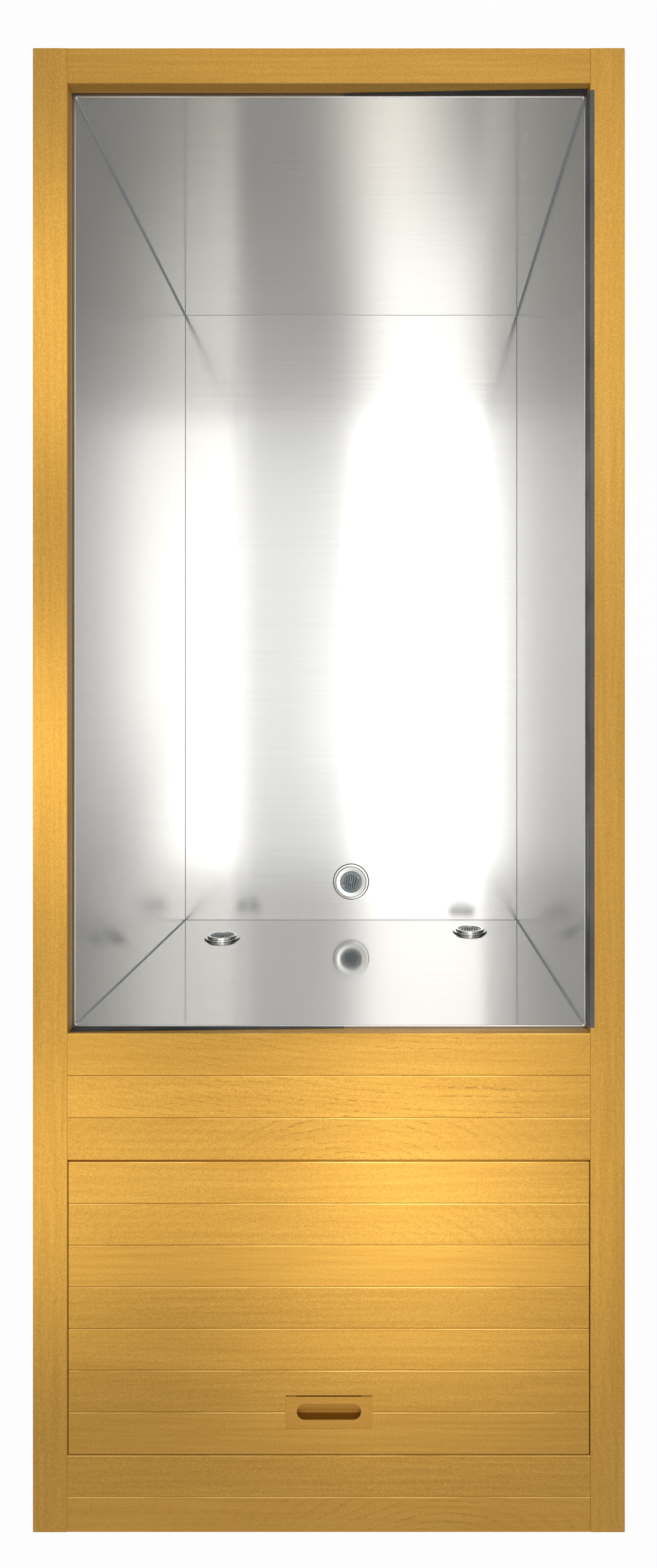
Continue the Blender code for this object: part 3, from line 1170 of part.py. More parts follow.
def build_inlet(plastic):
    """The power inlet in the foot wall: a lipped body with a recessed three-contact socket."""
    low, high = inlet_opening()
    face = -OUTER_Y - SEAT
    seat = Vector((SEAT, 0.0, SEAT))
    body_low = Vector((low.x, face - INLET_PROUD / 2, low.z)) + seat
    body_high = Vector((high.x, face + INLET_DEPTH, high.z)) - seat
    inlet = block("power_inlet", body_low, body_high, plastic)
    lip_low = Vector((low.x - INLET_LIP, face - INLET_PROUD, low.z - INLET_LIP))
    lip_high = Vector((high.x + INLET_LIP, face, high.z + INLET_LIP))
    join(inlet, block("inlet_lip", lip_low, lip_high))
    middle = (lip_low + lip_high) / 2
    width, height, depth = INLET_RECESS
    socket_low = Vector((middle.x - width / 2, face - 2 * INLET_PROUD, middle.z - height / 2))
    socket_high = Vector((middle.x + width / 2, face - INLET_PROUD + depth, middle.z + height / 2))
    cut(inlet, block("inlet_socket", socket_low, socket_high))
    pin_width, pin_height, pin_length = INLET_PIN
    for step in (-1, 0, 1):
        reach = Vector((pin_width / 2, 0.0, pin_height / 2))
        at = Vector((middle.x + step * INLET_PIN_STEP, socket_high.y, middle.z))
        pin_low = at - reach - HEAD_WARD * pin_length
        join(inlet, block("inlet_pin", pin_low, at + reach + HEAD_WARD * INLET_PROUD))


def build():
    clear_scene()
    wood = finish("golden stained cedar", (0.56, 0.33, 0.09), 0.45)
    pull_wood = finish("inlaid pull block", (0.55, 0.29, 0.09), 0.50)
    plywood = finish("floor plywood", (0.45, 0.33, 0.20), 0.70)
    steel = finish("brushed stainless steel", (0.70, 0.71, 0.72), 0.25, 1.0)
    chrome = finish("polished chrome", (0.80, 0.81, 0.82), 0.10, 1.0)
    aluminium = finish("mill aluminium", (0.75, 0.76, 0.77), 0.40, 1.0)
    brass = finish("valve brass", (0.70, 0.52, 0.25), 0.35, 1.0)
    rubber = finish("black rubber", (0.03, 0.03, 0.03), 0.80)
    foam = finish("closed-cell foam", (0.62, 0.66, 0.70), 0.90)
    sheet_metal = finish("galvanised sheet", (0.55, 0.56, 0.57), 0.45, 1.0)
    dark_paint = finish("black machine paint", (0.03, 0.03, 0.035), 0.50)
    motor_paint = finish("blue motor paint", (0.06, 0.13, 0.24), 0.45)
    pvc = finish("white pipe plastic", (0.75, 0.76, 0.76), 0.35)
    grey_plastic = finish("grey grate plastic", (0.30, 0.31, 0.32), 0.50)
    dark_plastic = finish("dark housing plastic", (0.05, 0.05, 0.055), 0.45)
    blue_plastic = finish("filter bowl plastic", (0.05, 0.14, 0.30), 0.30)
    paper = finish("pleated filter paper", (0.80, 0.82, 0.84), 0.90)
    lever_paint = finish("red lever coating", (0.45, 0.03, 0.02), 0.40)
    button_plastic = finish("button plastic", (0.70, 0.71, 0.72), 0.40)

    build_base(wood, plywood)
    build_walls(wood)
    build_deck(wood)
    build_hatch(wood, pull_wood, aluminium, steel)
    build_tub(steel, rubber, foam)
    build_fittings(chrome, grey_plastic)
    build_pump(dark_plastic, motor_paint, grey_plastic)
    build_filter(blue_plastic, dark_plastic, paper)
    build_chiller(sheet_metal, aluminium, dark_paint, dark_plastic)
    build_pipes(pvc)
    build_drain(pvc, brass, lever_paint)
    build_controls(dark_plastic, button_plastic)
    build_vent(dark_paint)
    build_inlet(dark_plastic)


build()
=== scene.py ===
# %% [markdown]
# # Cold plunge tub
#
# A cold plunge tub is a narrow bath for cold water: a folded steel tub in an insulated wooden cabinet, with
# a chiller and a pump under a hatch at its foot end. The solids of the part come in as a fixed frame, in
# metres. This lesson gives every piece its finish, and models again the pieces that need finer forms.

import json
import math
import random

import bmesh
import bpy
from mathutils import Matrix, Quaternion, Vector


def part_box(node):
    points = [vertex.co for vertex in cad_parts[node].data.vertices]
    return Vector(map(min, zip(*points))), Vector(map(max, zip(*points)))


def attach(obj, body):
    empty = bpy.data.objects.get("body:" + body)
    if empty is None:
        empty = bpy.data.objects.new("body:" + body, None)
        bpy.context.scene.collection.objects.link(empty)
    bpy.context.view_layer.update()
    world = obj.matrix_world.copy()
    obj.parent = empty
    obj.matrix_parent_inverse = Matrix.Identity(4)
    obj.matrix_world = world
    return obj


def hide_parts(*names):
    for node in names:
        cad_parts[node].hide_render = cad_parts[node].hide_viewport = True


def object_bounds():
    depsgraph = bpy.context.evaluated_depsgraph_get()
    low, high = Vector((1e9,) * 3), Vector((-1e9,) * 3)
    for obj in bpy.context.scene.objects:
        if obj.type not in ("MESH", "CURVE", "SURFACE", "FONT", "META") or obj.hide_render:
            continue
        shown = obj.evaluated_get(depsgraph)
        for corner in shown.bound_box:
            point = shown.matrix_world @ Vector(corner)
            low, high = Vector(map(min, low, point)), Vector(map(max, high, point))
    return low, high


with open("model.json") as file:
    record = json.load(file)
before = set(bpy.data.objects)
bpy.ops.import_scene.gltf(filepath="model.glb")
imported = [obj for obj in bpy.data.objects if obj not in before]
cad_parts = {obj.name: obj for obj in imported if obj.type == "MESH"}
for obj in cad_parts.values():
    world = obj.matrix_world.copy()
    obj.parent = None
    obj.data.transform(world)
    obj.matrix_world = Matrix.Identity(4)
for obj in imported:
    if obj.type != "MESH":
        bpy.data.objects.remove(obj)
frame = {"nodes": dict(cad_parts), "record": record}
cad_box = [list(corner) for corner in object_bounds()]
body_of = {}
for body, members in frame["record"]["behaviour"]["bodies"].items():
    for member in members:
        body_of[member] = body
print("CAD box", cad_box, "with", len(body_of), "pieces")

# %% [markdown]
# The picture is taken from straight above, a little right of the middle, with a wide lens. A camera that
# isn't turned looks straight down with +Y up, so only its place, lens and shift are set. The shift moves the
# frame sideways without tilting the view, which keeps the sides of the cabinet parallel.

# %% Camera
scene = bpy.context.scene
scene.view_settings.view_transform = "Standard"

lens = bpy.data.cameras.new("top_camera")
lens.sensor_width = 36.0
lens.lens = 19.635
lens.shift_x = -0.0396
lens.shift_y = -0.0388
camera = bpy.data.objects.new("top_camera", lens)
camera.location = (0.0846, 0.0917, 1.933)
scene.collection.objects.link(camera)
scene.camera = camera
print("camera at", tuple(camera.location))

# %% [markdown]
# Satin steel shows whatever is above it, so the lamps are part of the look. A row of softboxes hangs over the
# tub, bright on the right, dimmer in the middle and bright on the left, and the dim one is the grey band on
# the tub's floor. A softbox's glow is the brightness it has in a mirror, where 1 is white. A real softbox is
# brightest in its middle, so each is a stack of lamps that differ a little in size. Spot lamps add pools of
# light on the deck and the rails, and the steel doesn't mirror those.

# %% Lamps
CEILING = 3.5
LAYERS = 4
LAYER_STEP = 0.01
SPOT_HEIGHT = 2.8
DECK_HEIGHT = 0.76


def hang(name, lamp, place, target, mirrored=True):
    """Puts a lamp at a place and turns it to a target. Steel only shows a lamp that is mirrored."""
    obj = bpy.data.objects.new(name, lamp)
    obj.location = place
    way = Vector(target) - Vector(place)
    obj.rotation_euler = Vector((0.0, 0.0, -1.0)).rotation_difference(way).to_euler()
    obj.visible_camera = False
    obj.visible_glossy = mirrored
    scene.collection.objects.link(obj)
    return way.length


def softbox(name, left, right, foot, head, glow, fade, tint=(1.0, 1.0, 1.0)):
    """A rectangular lamp below the ceiling, between two lines along Y and two along X. Its edges fade."""
    for layer in range(LAYERS):
        grow = fade * (layer / (LAYERS - 1) - 0.5)
        lamp = bpy.data.lights.new(name, "AREA")
        lamp.shape = "RECTANGLE"
        lamp.size = right - left + 2 * grow
        lamp.size_y = head - foot + 2 * grow
        lamp.energy = glow / LAYERS * math.pi * lamp.size * lamp.size_y
        lamp.color = tint
        place = Vector(((left + right) / 2, (foot + head) / 2, CEILING - LAYER_STEP * layer))
        hang(name, lamp, place, place - Vector((0.0, 0.0, CEILING)))


def pool(name, place, target, reach, gain):
    """A spot lamp for a soft pool of light on the deck. The gain is what it adds to white paper."""
    lamp = bpy.data.lights.new(name, "SPOT")
    far = hang(name, lamp, (*place, SPOT_HEIGHT), (*target, DECK_HEIGHT), mirrored=False)
    lamp.spot_size = 2 * math.atan(reach / far)
    lamp.spot_blend = 1.0
    lamp.shadow_soft_size = 0.2
    lamp.energy = gain * (2 * math.pi * far) ** 2


softbox("right_softbox", -0.12, 0.84, -0.10, 2.05, 2.7, 0.12)
softbox("right_foot_softbox", -0.07, 0.64, -1.25, -0.10, 3.6, 0.22)
softbox("wing_softbox", 0.84, 1.15, -0.60, 1.90, 0.7, 0.12)
softbox("middle_softbox", -0.78, -0.10, -0.40, 1.85, 0.58, 0.10)
softbox("middle_foot_softbox", -0.78, -0.10, -1.10, -0.40, 0.40, 0.10)
softbox("left_softbox", -0.98, -0.78, -1.00, 1.95, 1.8, 0.10)
softbox("foot_softbox", -0.15, 0.36, -2.50, -1.25, 2.6, 0.30, (1.0, 0.95, 0.86))
pool("deck_pool", (0.25, 0.45), (0.11, -0.53), 0.29, 1.45)
for pool_y, reach, gain in ((0.58, 0.50, 0.40), (-0.10, 0.28, 0.25)):
    pool("right_rail_pool", (1.00, 2 * pool_y), (0.39, pool_y), reach, gain)
pool("head_rail_pool", (0.20, 2.20), (0.0, 0.99), 0.60, 0.25)
for pool_y, reach, gain in ((0.62, 0.19, 1.7), (0.12, 0.18, 1.4), (-0.02, 0.18, 1.4), (-0.50, 0.20, 1.6)):
    pool("left_rail_pool", (-1.19, 2.74 * pool_y - 0.16), (-0.39, pool_y), reach, gain)

# %% [markdown]
# Materials are networks of nodes. These small helpers keep each network short: one adds a node and fills its
# inputs, and the others wrap the nodes that are used most. A value can be a number or another node's output.

# %% Node helpers


def fill(tree, socket, value):
    """Links a socket to another node's output, or sets it to a plain value."""
    if isinstance(value, bpy.types.NodeSocket):
        tree.links.new(value, socket)
    else:
        socket.default_value = value


def make(tree, kind, inputs=None, **settings):
    """Adds a node, sets its options, then fills its inputs by name or number. Returns the node."""
    node = tree.nodes.new("ShaderNode" + kind)
    for option, value in settings.items():
        setattr(node, option, value)
    for socket, value in (inputs or {}).items():
        fill(tree, node.inputs[socket], value)
    return node


def calc(tree, operation, *values):
    """A sum, product or other operation on one or two values."""
    return make(tree, "Math", dict(enumerate(values)), operation=operation).outputs[0]


def weighed(tree, share, first, second):
    """The mean of two values, where the first has the given share."""
    rest = calc(tree, "MULTIPLY", second, 1 - share)
    return calc(tree, "ADD", calc(tree, "MULTIPLY", first, share), rest)


def spread(tree, value, low, high, to_low=0.0, to_high=1.0):
    """Stretches a range of values to another range, and cuts off what lies outside."""
    inputs = {"Value": value, "From Min": low, "From Max": high, "To Min": to_low, "To Max": to_high}
    return make(tree, "MapRange", inputs).outputs[0]


def mixed(tree, mask, first, second):
    """A colour between two, by a mask from 0 to 1."""
    node = make(tree, "Mix", {0: mask}, data_type="RGBA")
    for number, colour in ((6, first), (7, second)):
        plain = not isinstance(colour, bpy.types.NodeSocket)
        fill(tree, node.inputs[number], (*colour, 1.0) if plain else colour)
    return node.outputs[2]


def on_object(tree):
    """The place of each point of a surface, in metres."""
    return make(tree, "TexCoord").outputs["Object"]


def parts(tree, vector):
    """The X, Y and Z of a vector."""
    return make(tree, "SeparateXYZ", {0: vector}).outputs


def noise(tree, place, stretch, detail=3.0):
    """Soft noise. The stretch gives how many blotches fit in a metre along X, Y and Z."""
    scaled = make(tree, "VectorMath", {0: place, 1: stretch}, operation="MULTIPLY").outputs[0]
    return make(tree, "TexNoise", {"Vector": scaled, "Scale": 1.0, "Detail": detail}).outputs["Fac"]


def new_material(name):
    """A new material. Returns it with its tree and its main shader."""
    material = bpy.data.materials.new(name)
    material.use_nodes = True
    tree = material.node_tree
    return material, tree, tree.nodes["Principled BSDF"]


def feed(tree, shader, **sockets):
    """Fills inputs of the main shader. Underscores stand for spaces."""
    for name, value in sockets.items():
        fill(tree, shader.inputs[name.replace("_", " ")], value)


def bump(tree, height, strength, distance):
    """A surface relief of the given depth in metres."""
    return make(tree, "Bump", {"Height": height, "Strength": strength, "Distance": distance}).outputs[0]


def effect(name, inputs, outputs):
    """An empty node group with named sockets. Returns the group, its inputs and its outputs."""
    group = bpy.data.node_groups.new(name, "ShaderNodeTree")
    for way, sockets in (("INPUT", inputs), ("OUTPUT", outputs)):
        for socket, kind in sockets.items():
            group.interface.new_socket(socket, in_out=way, socket_type="NodeSocket" + kind)
    return group, group.nodes.new("NodeGroupInput").outputs, group.nodes.new("NodeGroupOutput").inputs


print("node helpers ready")

# %% [markdown]
# The floor is pale and shows white to the camera. The Light Path node tells camera and mirror rays apart from
# the rays that carry light, so the floor and the sky can look white without throwing more light on the tub. A
# share of the floor stays an ordinary diffuse surface, and keeps the tub's shadow.

# %% Floor and sky
WHITE = (1.0, 1.0, 1.0, 1.0)


def looked_at(tree):
    """1 for rays that look at a surface, directly or through a mirror or glass, and 0 for rays of light."""
    path = make(tree, "LightPath").outputs
    seen = calc(tree, "MAXIMUM", path["Is Camera Ray"], path["Is Glossy Ray"])
    return calc(tree, "MAXIMUM", seen, path["Is Transmission Ray"])


paper, tree, shader = new_material("studio_floor")
tree.nodes.remove(shader)
speckle = noise(tree, on_object(tree), (40.0, 40.0, 40.0))
tint = mixed(tree, speckle, (0.86, 0.86, 0.86), (0.90, 0.90, 0.90))
matte = make(tree, "BsdfDiffuse", {"Color": tint}).outputs[0]
white = make(tree, "Emission", {"Color": WHITE, "Strength": 1.0}).outputs[0]
share = calc(tree, "MULTIPLY", looked_at(tree), 0.97)
blend = make(tree, "MixShader", {0: share, 1: matte, 2: white}).outputs[0]
tree.links.new(blend, tree.nodes["Material Output"].inputs["Surface"])

bm = bmesh.new()
bmesh.ops.create_grid(bm, x_segments=1, y_segments=1, size=9.0)
bmesh.ops.translate(bm, vec=(0.0, 0.0, -0.0005), verts=bm.verts)
mesh = bpy.data.meshes.new("studio_floor")
bm.to_mesh(mesh)
bm.free()
mesh.materials.append(paper)
floor = bpy.data.objects.new("studio_floor", mesh)
scene.collection.objects.link(floor)

sky = bpy.data.worlds.new("studio_sky")
sky.use_nodes = True
scene.world = sky
tree = sky.node_tree
height = parts(tree, make(tree, "TexCoord").outputs["Generated"])["Z"]
walls = spread(tree, looked_at(tree), 0.0, 1.0, 0.35, 1.0)
ceiling = spread(tree, height, 0.35, 0.80, 1.0, 0.75)
feed(tree, tree.nodes["Background"], Color=WHITE, Strength=calc(tree, "MULTIPLY", walls, ceiling))
print("floor and sky ready")

# %% [markdown]
# The cabinet is of ash-like boards under a golden satin stain. Such wood shows growth rings as rows of short
# dark pores, and arches where the saw cut through a bent ring. The rings can be drawn as distances from a
# heart point: far from the heart they run as nearly straight lines, and close to it they close to arches.
# Every board carries its heart, a seed and a figure as face attributes, so one node group serves all boards
# and no two look alike. The figure says how strong the pores are, where along the board they centre and how
# far they reach. A fourth attribute marks the chamfers that face the head for a painted highlight: a paler
# stain that stands in for the light they catch.

# %% Board grain
PALE_STAIN = (0.650, 0.348, 0.060)
DEEP_STAIN = (0.570, 0.292, 0.046)
PORE_STAIN = (0.27, 0.120, 0.014)
# The pale stain is a painted highlight on the chamfers that face the head.
PAINTED_HIGHLIGHT_STAIN = (0.92, 0.58, 0.15)
RING_WIDTH = 0.0085
RING_STRETCH = 2.6

board_grain, at, out = effect(
    "board_grain",
    {"Vector": "Vector", "Heart": "Vector", "Figure": "Vector", "Seed": "Float"},
    {"Streak": "Float", "Pore": "Float", "Tone": "Float", "Speck": "Float"},
)
tree = board_grain
shift = make(tree, "VectorMath", {0: (31.0, 17.0, 23.0), "Scale": at["Seed"]}, operation="SCALE").outputs[0]
place = make(tree, "VectorMath", {0: at["Vector"], 1: shift}, operation="ADD").outputs[0]
streak = spread(tree, noise(tree, place, (5.0, 150.0, 150.0), 5.0), 0.36, 0.68)
dash = spread(tree, noise(tree, place, (85.0, 900.0, 900.0), 2.0), 0.53, 0.62)
speckle = spread(tree, noise(tree, place, (560.0, 680.0, 680.0)), 0.30, 0.70)
tree.links.new(speckle, out["Speck"])

from_heart = make(tree, "VectorMath", {0: at["Vector"], 1: at["Heart"]}, operation="SUBTRACT").outputs[0]
offset = parts(tree, from_heart)
along = calc(tree, "DIVIDE", offset["X"], RING_STRETCH)
across = calc(tree, "ADD", offset["Y"], offset["Z"])
squares = calc(tree, "ADD", calc(tree, "MULTIPLY", along, along), calc(tree, "MULTIPLY", across, across))
wobble = calc(tree, "MULTIPLY", noise(tree, place, (3.0, 18.0, 18.0)), 0.030)
reach = calc(tree, "ADD", calc(tree, "SQRT", squares), wobble)
ring = calc(tree, "FRACT", calc(tree, "DIVIDE", reach, RING_WIDTH))
late_wood = spread(tree, ring, 0.55, 1.0)
tree.links.new(weighed(tree, 0.75, streak, late_wood), out["Streak"])

figure = parts(tree, at["Figure"])
off_centre = calc(tree, "ABSOLUTE", calc(tree, "SUBTRACT", parts(tree, at["Vector"])["X"], figure["Y"]))
fade = spread(tree, calc(tree, "DIVIDE", off_centre, figure["Z"]), 0.35, 1.0, 1.0, 0.06)
patch = spread(tree, noise(tree, place, (7.0, 40.0, 40.0), 2.0), 0.36, 0.60, 0.10, 1.0)
rows = calc(tree, "MULTIPLY", spread(tree, late_wood, 0.25, 0.8), patch)
shown = calc(tree, "MULTIPLY", calc(tree, "MULTIPLY", fade, figure["X"]), rows)
tree.links.new(calc(tree, "MULTIPLY", dash, shown), out["Pore"])
cloud = noise(tree, place, (1.5, 10.0, 10.0), 2.0)
board_tone = make(tree, "TexWhiteNoise", {"W": at["Seed"]}, noise_dimensions="1D").outputs["Value"]
tree.links.new(weighed(tree, 0.6, cloud, board_tone), out["Tone"])


def attribute(tree, name, output):
    """A value that the faces of a mesh carry."""
    return make(tree, "Attribute", attribute_name=name).outputs[output]


def stained_wood(name, turn, pale, deep):
    """Golden stained wood. The turn about Z brings the grain from X to its own direction."""
    material, tree, shader = new_material(name)
    board = {"Figure": attribute(tree, "figure", "Vector"), "Seed": attribute(tree, "seed", "Fac")}
    for socket, source in (("Vector", on_object(tree)), ("Heart", attribute(tree, "heart", "Vector"))):
        board[socket] = make(tree, "Mapping", {"Vector": source, "Rotation": (0.0, 0.0, turn)}).outputs[0]
    grain = make(tree, "Group", board, node_tree=board_grain).outputs
    body = mixed(tree, grain["Streak"], pale, deep)
    body = mixed(tree, calc(tree, "MULTIPLY", grain["Pore"], 0.95), body, PORE_STAIN)
    tone = spread(tree, grain["Tone"], 0.25, 0.75, 0.94, 1.05)
    tone = calc(tree, "MULTIPLY", tone, spread(tree, grain["Speck"], 0.0, 1.0, 1.17, 0.83))
    colour = make(tree, "VectorMath", {0: body, "Scale": tone}, operation="SCALE").outputs[0]
    # Painted highlight: chamfers that face the head take the pale stain, in patches drawn by noise.
    sheen_patches = spread(tree, noise(tree, board["Vector"], (7.0, 20.0, 20.0)), 0.38, 0.58, 0.15)
    smears_and_painted_sheen = calc(tree, "MULTIPLY", attribute(tree, "smears_and_painted_sheen", "Fac"), sheen_patches)
    colour = mixed(tree, smears_and_painted_sheen, colour, PAINTED_HIGHLIGHT_STAIN)
    rough = spread(tree, grain["Streak"], 0.0, 1.0, 0.38, 0.50)
    relief = calc(tree, "ADD", grain["Pore"], calc(tree, "MULTIPLY", grain["Streak"], 0.3))
    relief = calc(tree, "MULTIPLY", relief, -1.0)
    feed(tree, shader, Base_Color=colour, Roughness=rough, Normal=bump(tree, relief, 0.35, 0.0004))
    feed(tree, shader, Specular_IOR_Level=0.45, Specular_Tint=(1.0, 0.82, 0.42, 1.0))
    return material


wood_across = stained_wood("stained_wood_across", 0.0, PALE_STAIN, DEEP_STAIN)
wood_along = stained_wood("stained_wood_along", -math.pi / 2, PALE_STAIN, DEEP_STAIN)
wood_pull = stained_wood("stained_wood_pull", 0.0, (0.585, 0.302, 0.051), (0.515, 0.255, 0.039))
# Painted shade: a much darker copy of the stain for the deep undercut of the finger pull.
painted_shade_pull = stained_wood("painted_shade_wood", 0.0, (0.20, 0.088, 0.008), (0.15, 0.062, 0.005))
print("stained wood in", len(board_grain.nodes), "grain nodes")

# %% [markdown]
# The solids have sharp edges, and their meshes are loose triangles. A dressed copy of a solid is merged,
# cleaned of the flat triangles' inner edges, and gets a small bevel on its edges, as sandpaper or a press
# leaves on real ones. Weighted normals keep the large faces flat in the light and let only the bevels turn.

# %% Dressed copies
MERGE = 0.00001
FLAT = math.radians(1.0)
SHARP = math.radians(32.0)


def merged_copy(node):
    """The shape of a CAD node as a clean mesh."""
    bm = bmesh.new()
    bm.from_mesh(frame["nodes"][node].data)
    bmesh.ops.remove_doubles(bm, verts=bm.verts, dist=MERGE)
    bmesh.ops.dissolve_limit(bm, angle_limit=FLAT, verts=bm.verts, edges=bm.edges)
    return bm


def centre(node):
    """The middle of a CAD node's box."""
    low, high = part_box(node)
    return (low + high) / 2


def soften(bm, edges, offset, segments=2):
    """Rounds edges over."""
    return bmesh.ops.bevel(
        bm,
        geom=edges,
        offset=offset,
        offset_type="OFFSET",
        affect="EDGES",
        segments=segments,
        profile=0.5,
        material=-1,
        clamp_overlap=True,
    )


def sharp_edges(bm):
    """The edges where two faces meet at a clear angle."""
    return [edge for edge in bm.edges if edge.is_manifold and edge.calc_face_angle() > SHARP]


def show(name, bm, slot, *materials, node=None, body="cabinet"):
    """Turns a bmesh into a shown piece that rides on a body. It can stand for a CAD node, on its body."""
    stands_for = [node] if node else []
    body = body_of.get(node, body)
    mesh = bpy.data.meshes.new(name)
    bm.to_mesh(mesh)
    bm.free()
    mesh.shade_smooth()
    mesh.set_sharp_from_angle(angle=SHARP)
    for material in materials:
        mesh.materials.append(material)
    obj = bpy.data.objects.new(name, mesh)
    scene.collection.objects.link(obj)
    shading = obj.modifiers.new("even_shading", "WEIGHTED_NORMAL")
    shading.keep_sharp = True
    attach(obj, body)
    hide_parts(*stands_for)
    return obj


def dress(node, slot, material, edge):
    """A softened copy of a CAD node takes its place."""
    bm = merged_copy(node)
    if edge:
        soften(bm, sharp_edges(bm), edge)
    return show(node + "_dressed", bm, slot, material, node=node)


print("dressed copies ready")

# %% [markdown]
# Each deck board, rail and wall board gets its own heart and seed. A board's heart usually lies far beside
# it, so its rings are long lines. A few boards are cut close to the heart, such as the third deck board and
# the foot rail, and show arches. A wall is one solid with twelve boards, so its faces are told apart by their
# height. The chamfers along the joints are worn a little flatter than the solids have them, and those that
# face the head get a painted highlight, a paler stain for the light they catch. The right rail gets a shallow
# step along the tub, where a thin edge trim will lie flush.

# %% Wooden pieces
DECK_UNDER, DECK_TOP = (corner.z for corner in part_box("deck_rail_left"))
OPENING_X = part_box("deck_rail_right")[0].x
OPENING_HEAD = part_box("deck_rail_head")[0].y
OPENING_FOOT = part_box("deck_plank_1")[1].y
TRIM_WIDTH = 0.0056
TRIM_THICK = 0.0009
TRIM_ENDS = (OPENING_FOOT + 0.0074, OPENING_HEAD - 0.0091)
TRIM_SLACK = 0.0001
BOARD_EDGE = 0.0003
WALL_EDGE = 0.0004
PLINTH_EDGE = 0.0015
WALL_BOARDS = 12
CHAMFER = 0.0012
HATCH_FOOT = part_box("hatch_plank_7")[0].y
HATCH_SLACK = 0.0010
RUBBED_DEPTH = 0.0007
JOINT_WEAR = 0.0003
END_ROUND = 0.0009
OUTER_ROUND = 0.0030
chance = random.Random(7)


def lay_grain(bm, lengthwise=False, key=None, figured=None, chamfer_highlight=True):
    """Gives every board of a piece a heart, a seed and a figure. The key tells a face's board."""
    hearts = bm.faces.layers.float_vector.new("heart")
    figures = bm.faces.layers.float_vector.new("figure")
    seeds = bm.faces.layers.float.new("seed")
    smears_and_painted_sheen = bm.faces.layers.float.new("smears_and_painted_sheen")
    across, along = (0, 1) if lengthwise else (1, 0)
    middle = []
    for axis in (0, 1):
        reach = [vert.co[axis] for vert in bm.verts]
        middle.append((min(reach) + max(reach)) / 2)
    boards = {}
    for face in bm.faces:
        board = key(face) if key else 0
        if board not in boards:
            heart = Vector((*middle, face.calc_center_median().z))
            heart[across] += chance.choice((-1.0, 1.0)) * chance.uniform(0.5, 1.2)
            heart[along] += chance.uniform(-0.3, 0.3)
            figure = Vector((chance.uniform(0.05, 0.22), heart[along], chance.uniform(0.3, 0.6)))
            if figured:
                heart = Vector((*figured[:2], DECK_TOP))
                figure = Vector(figured[2:])
            boards[board] = heart, figure, chance.uniform(0.0, 10.0)
        face[hearts], face[figures], face[seeds] = boards[board]
        # A chamfer that faces the head is marked for the painted highlight.
        slope = face.normal.y > 0.1 and 0.5 < face.normal.z < 0.999
        face[smears_and_painted_sheen] = 1.0 if chamfer_highlight and slope else 0.0


def seat_trim(bm):
    """Lowers the right rail's inner edge along the tub, by the thickness of the trim."""
    edge_x = OPENING_X + TRIM_WIDTH + TRIM_SLACK
    foot, head = TRIM_ENDS[0] - TRIM_SLACK, TRIM_ENDS[1] + TRIM_SLACK
    cuts = [((edge_x, 0, 0), (1, 0, 0)), ((0, foot, 0), (0, 1, 0)), ((0, head, 0), (0, 1, 0))]
    for point, way in cuts:
        outward = 1 if point[1] >= 0 else -1
        for apart in (0.0, 2 * TRIM_SLACK):
            place = Vector(point) + Vector(way) * apart * outward
            whole = bm.verts[:] + bm.edges[:] + bm.faces[:]
            bmesh.ops.bisect_plane(bm, geom=whole, plane_co=place, plane_no=way, dist=MERGE)
    for vert in bm.verts:
        along_trim = foot - TRIM_SLACK < vert.co.y < head + TRIM_SLACK
        if along_trim and vert.co.x < edge_x + MERGE and vert.co.z > DECK_TOP - TRIM_THICK:
            vert.co.z = DECK_TOP - TRIM_THICK - TRIM_SLACK


def wear_joints(bm, node):
    """Flattens the chamfers at the joints, and lengthens the hatch's last board to narrow its gap."""
    middle_y = centre(node).y
    for vert in bm.verts:
        if abs(vert.co.z - DECK_TOP + CHAMFER) < MERGE:
            vert.co.z = DECK_TOP - RUBBED_DEPTH
            if "plank" in node and vert.co.y > middle_y:
                vert.co.y -= JOINT_WEAR
        if node == "hatch_plank_7" and vert.co.y < HATCH_FOOT + MERGE:
            vert.co.y -= HATCH_SLACK


def ease_outer_edge(bm):
    """Draws the round outer edge of a short rail in, to the size of the side rails' ends."""
    outer_y = cad_box[1][1]
    for vert in bm.verts:
        inward, down = outer_y - abs(vert.co.y), DECK_TOP - vert.co.z
        if max(inward, down) < OUTER_ROUND + MERGE:
            vert.co.y = math.copysign(outer_y - inward * END_ROUND / OUTER_ROUND, vert.co.y)
            vert.co.z = DECK_TOP - down * END_ROUND / OUTER_ROUND


def round_ends(bm):
    """Rounds the upper edges at the ends of a side rail."""
    ends = []
    for edge in sharp_edges(bm):
        first, last = (vert.co for vert in edge.verts)
        if min(first.z, last.z) > DECK_TOP - MERGE and abs(first.y - last.y) < MERGE:
            ends.append(edge)
    soften(bm, ends, END_ROUND, 3)


def wooden(node, material, key=None, figured=None, edge=BOARD_EDGE):
    """A wooden piece with worn edges and its own grain takes the place of a CAD node."""
    bm = merged_copy(node)
    wear_joints(bm, node)
    if node in ("deck_rail_head", "deck_rail_foot"):
        ease_outer_edge(bm)
    if node in ("deck_rail_left", "deck_rail_right"):
        round_ends(bm)
    soften(bm, sharp_edges(bm), edge)
    if node == "deck_rail_right":
        seat_trim(bm)
    lay_grain(bm, material is wood_along, key, figured)
    return show(node + "_dressed", bm, "wood_stained", material, node=node)


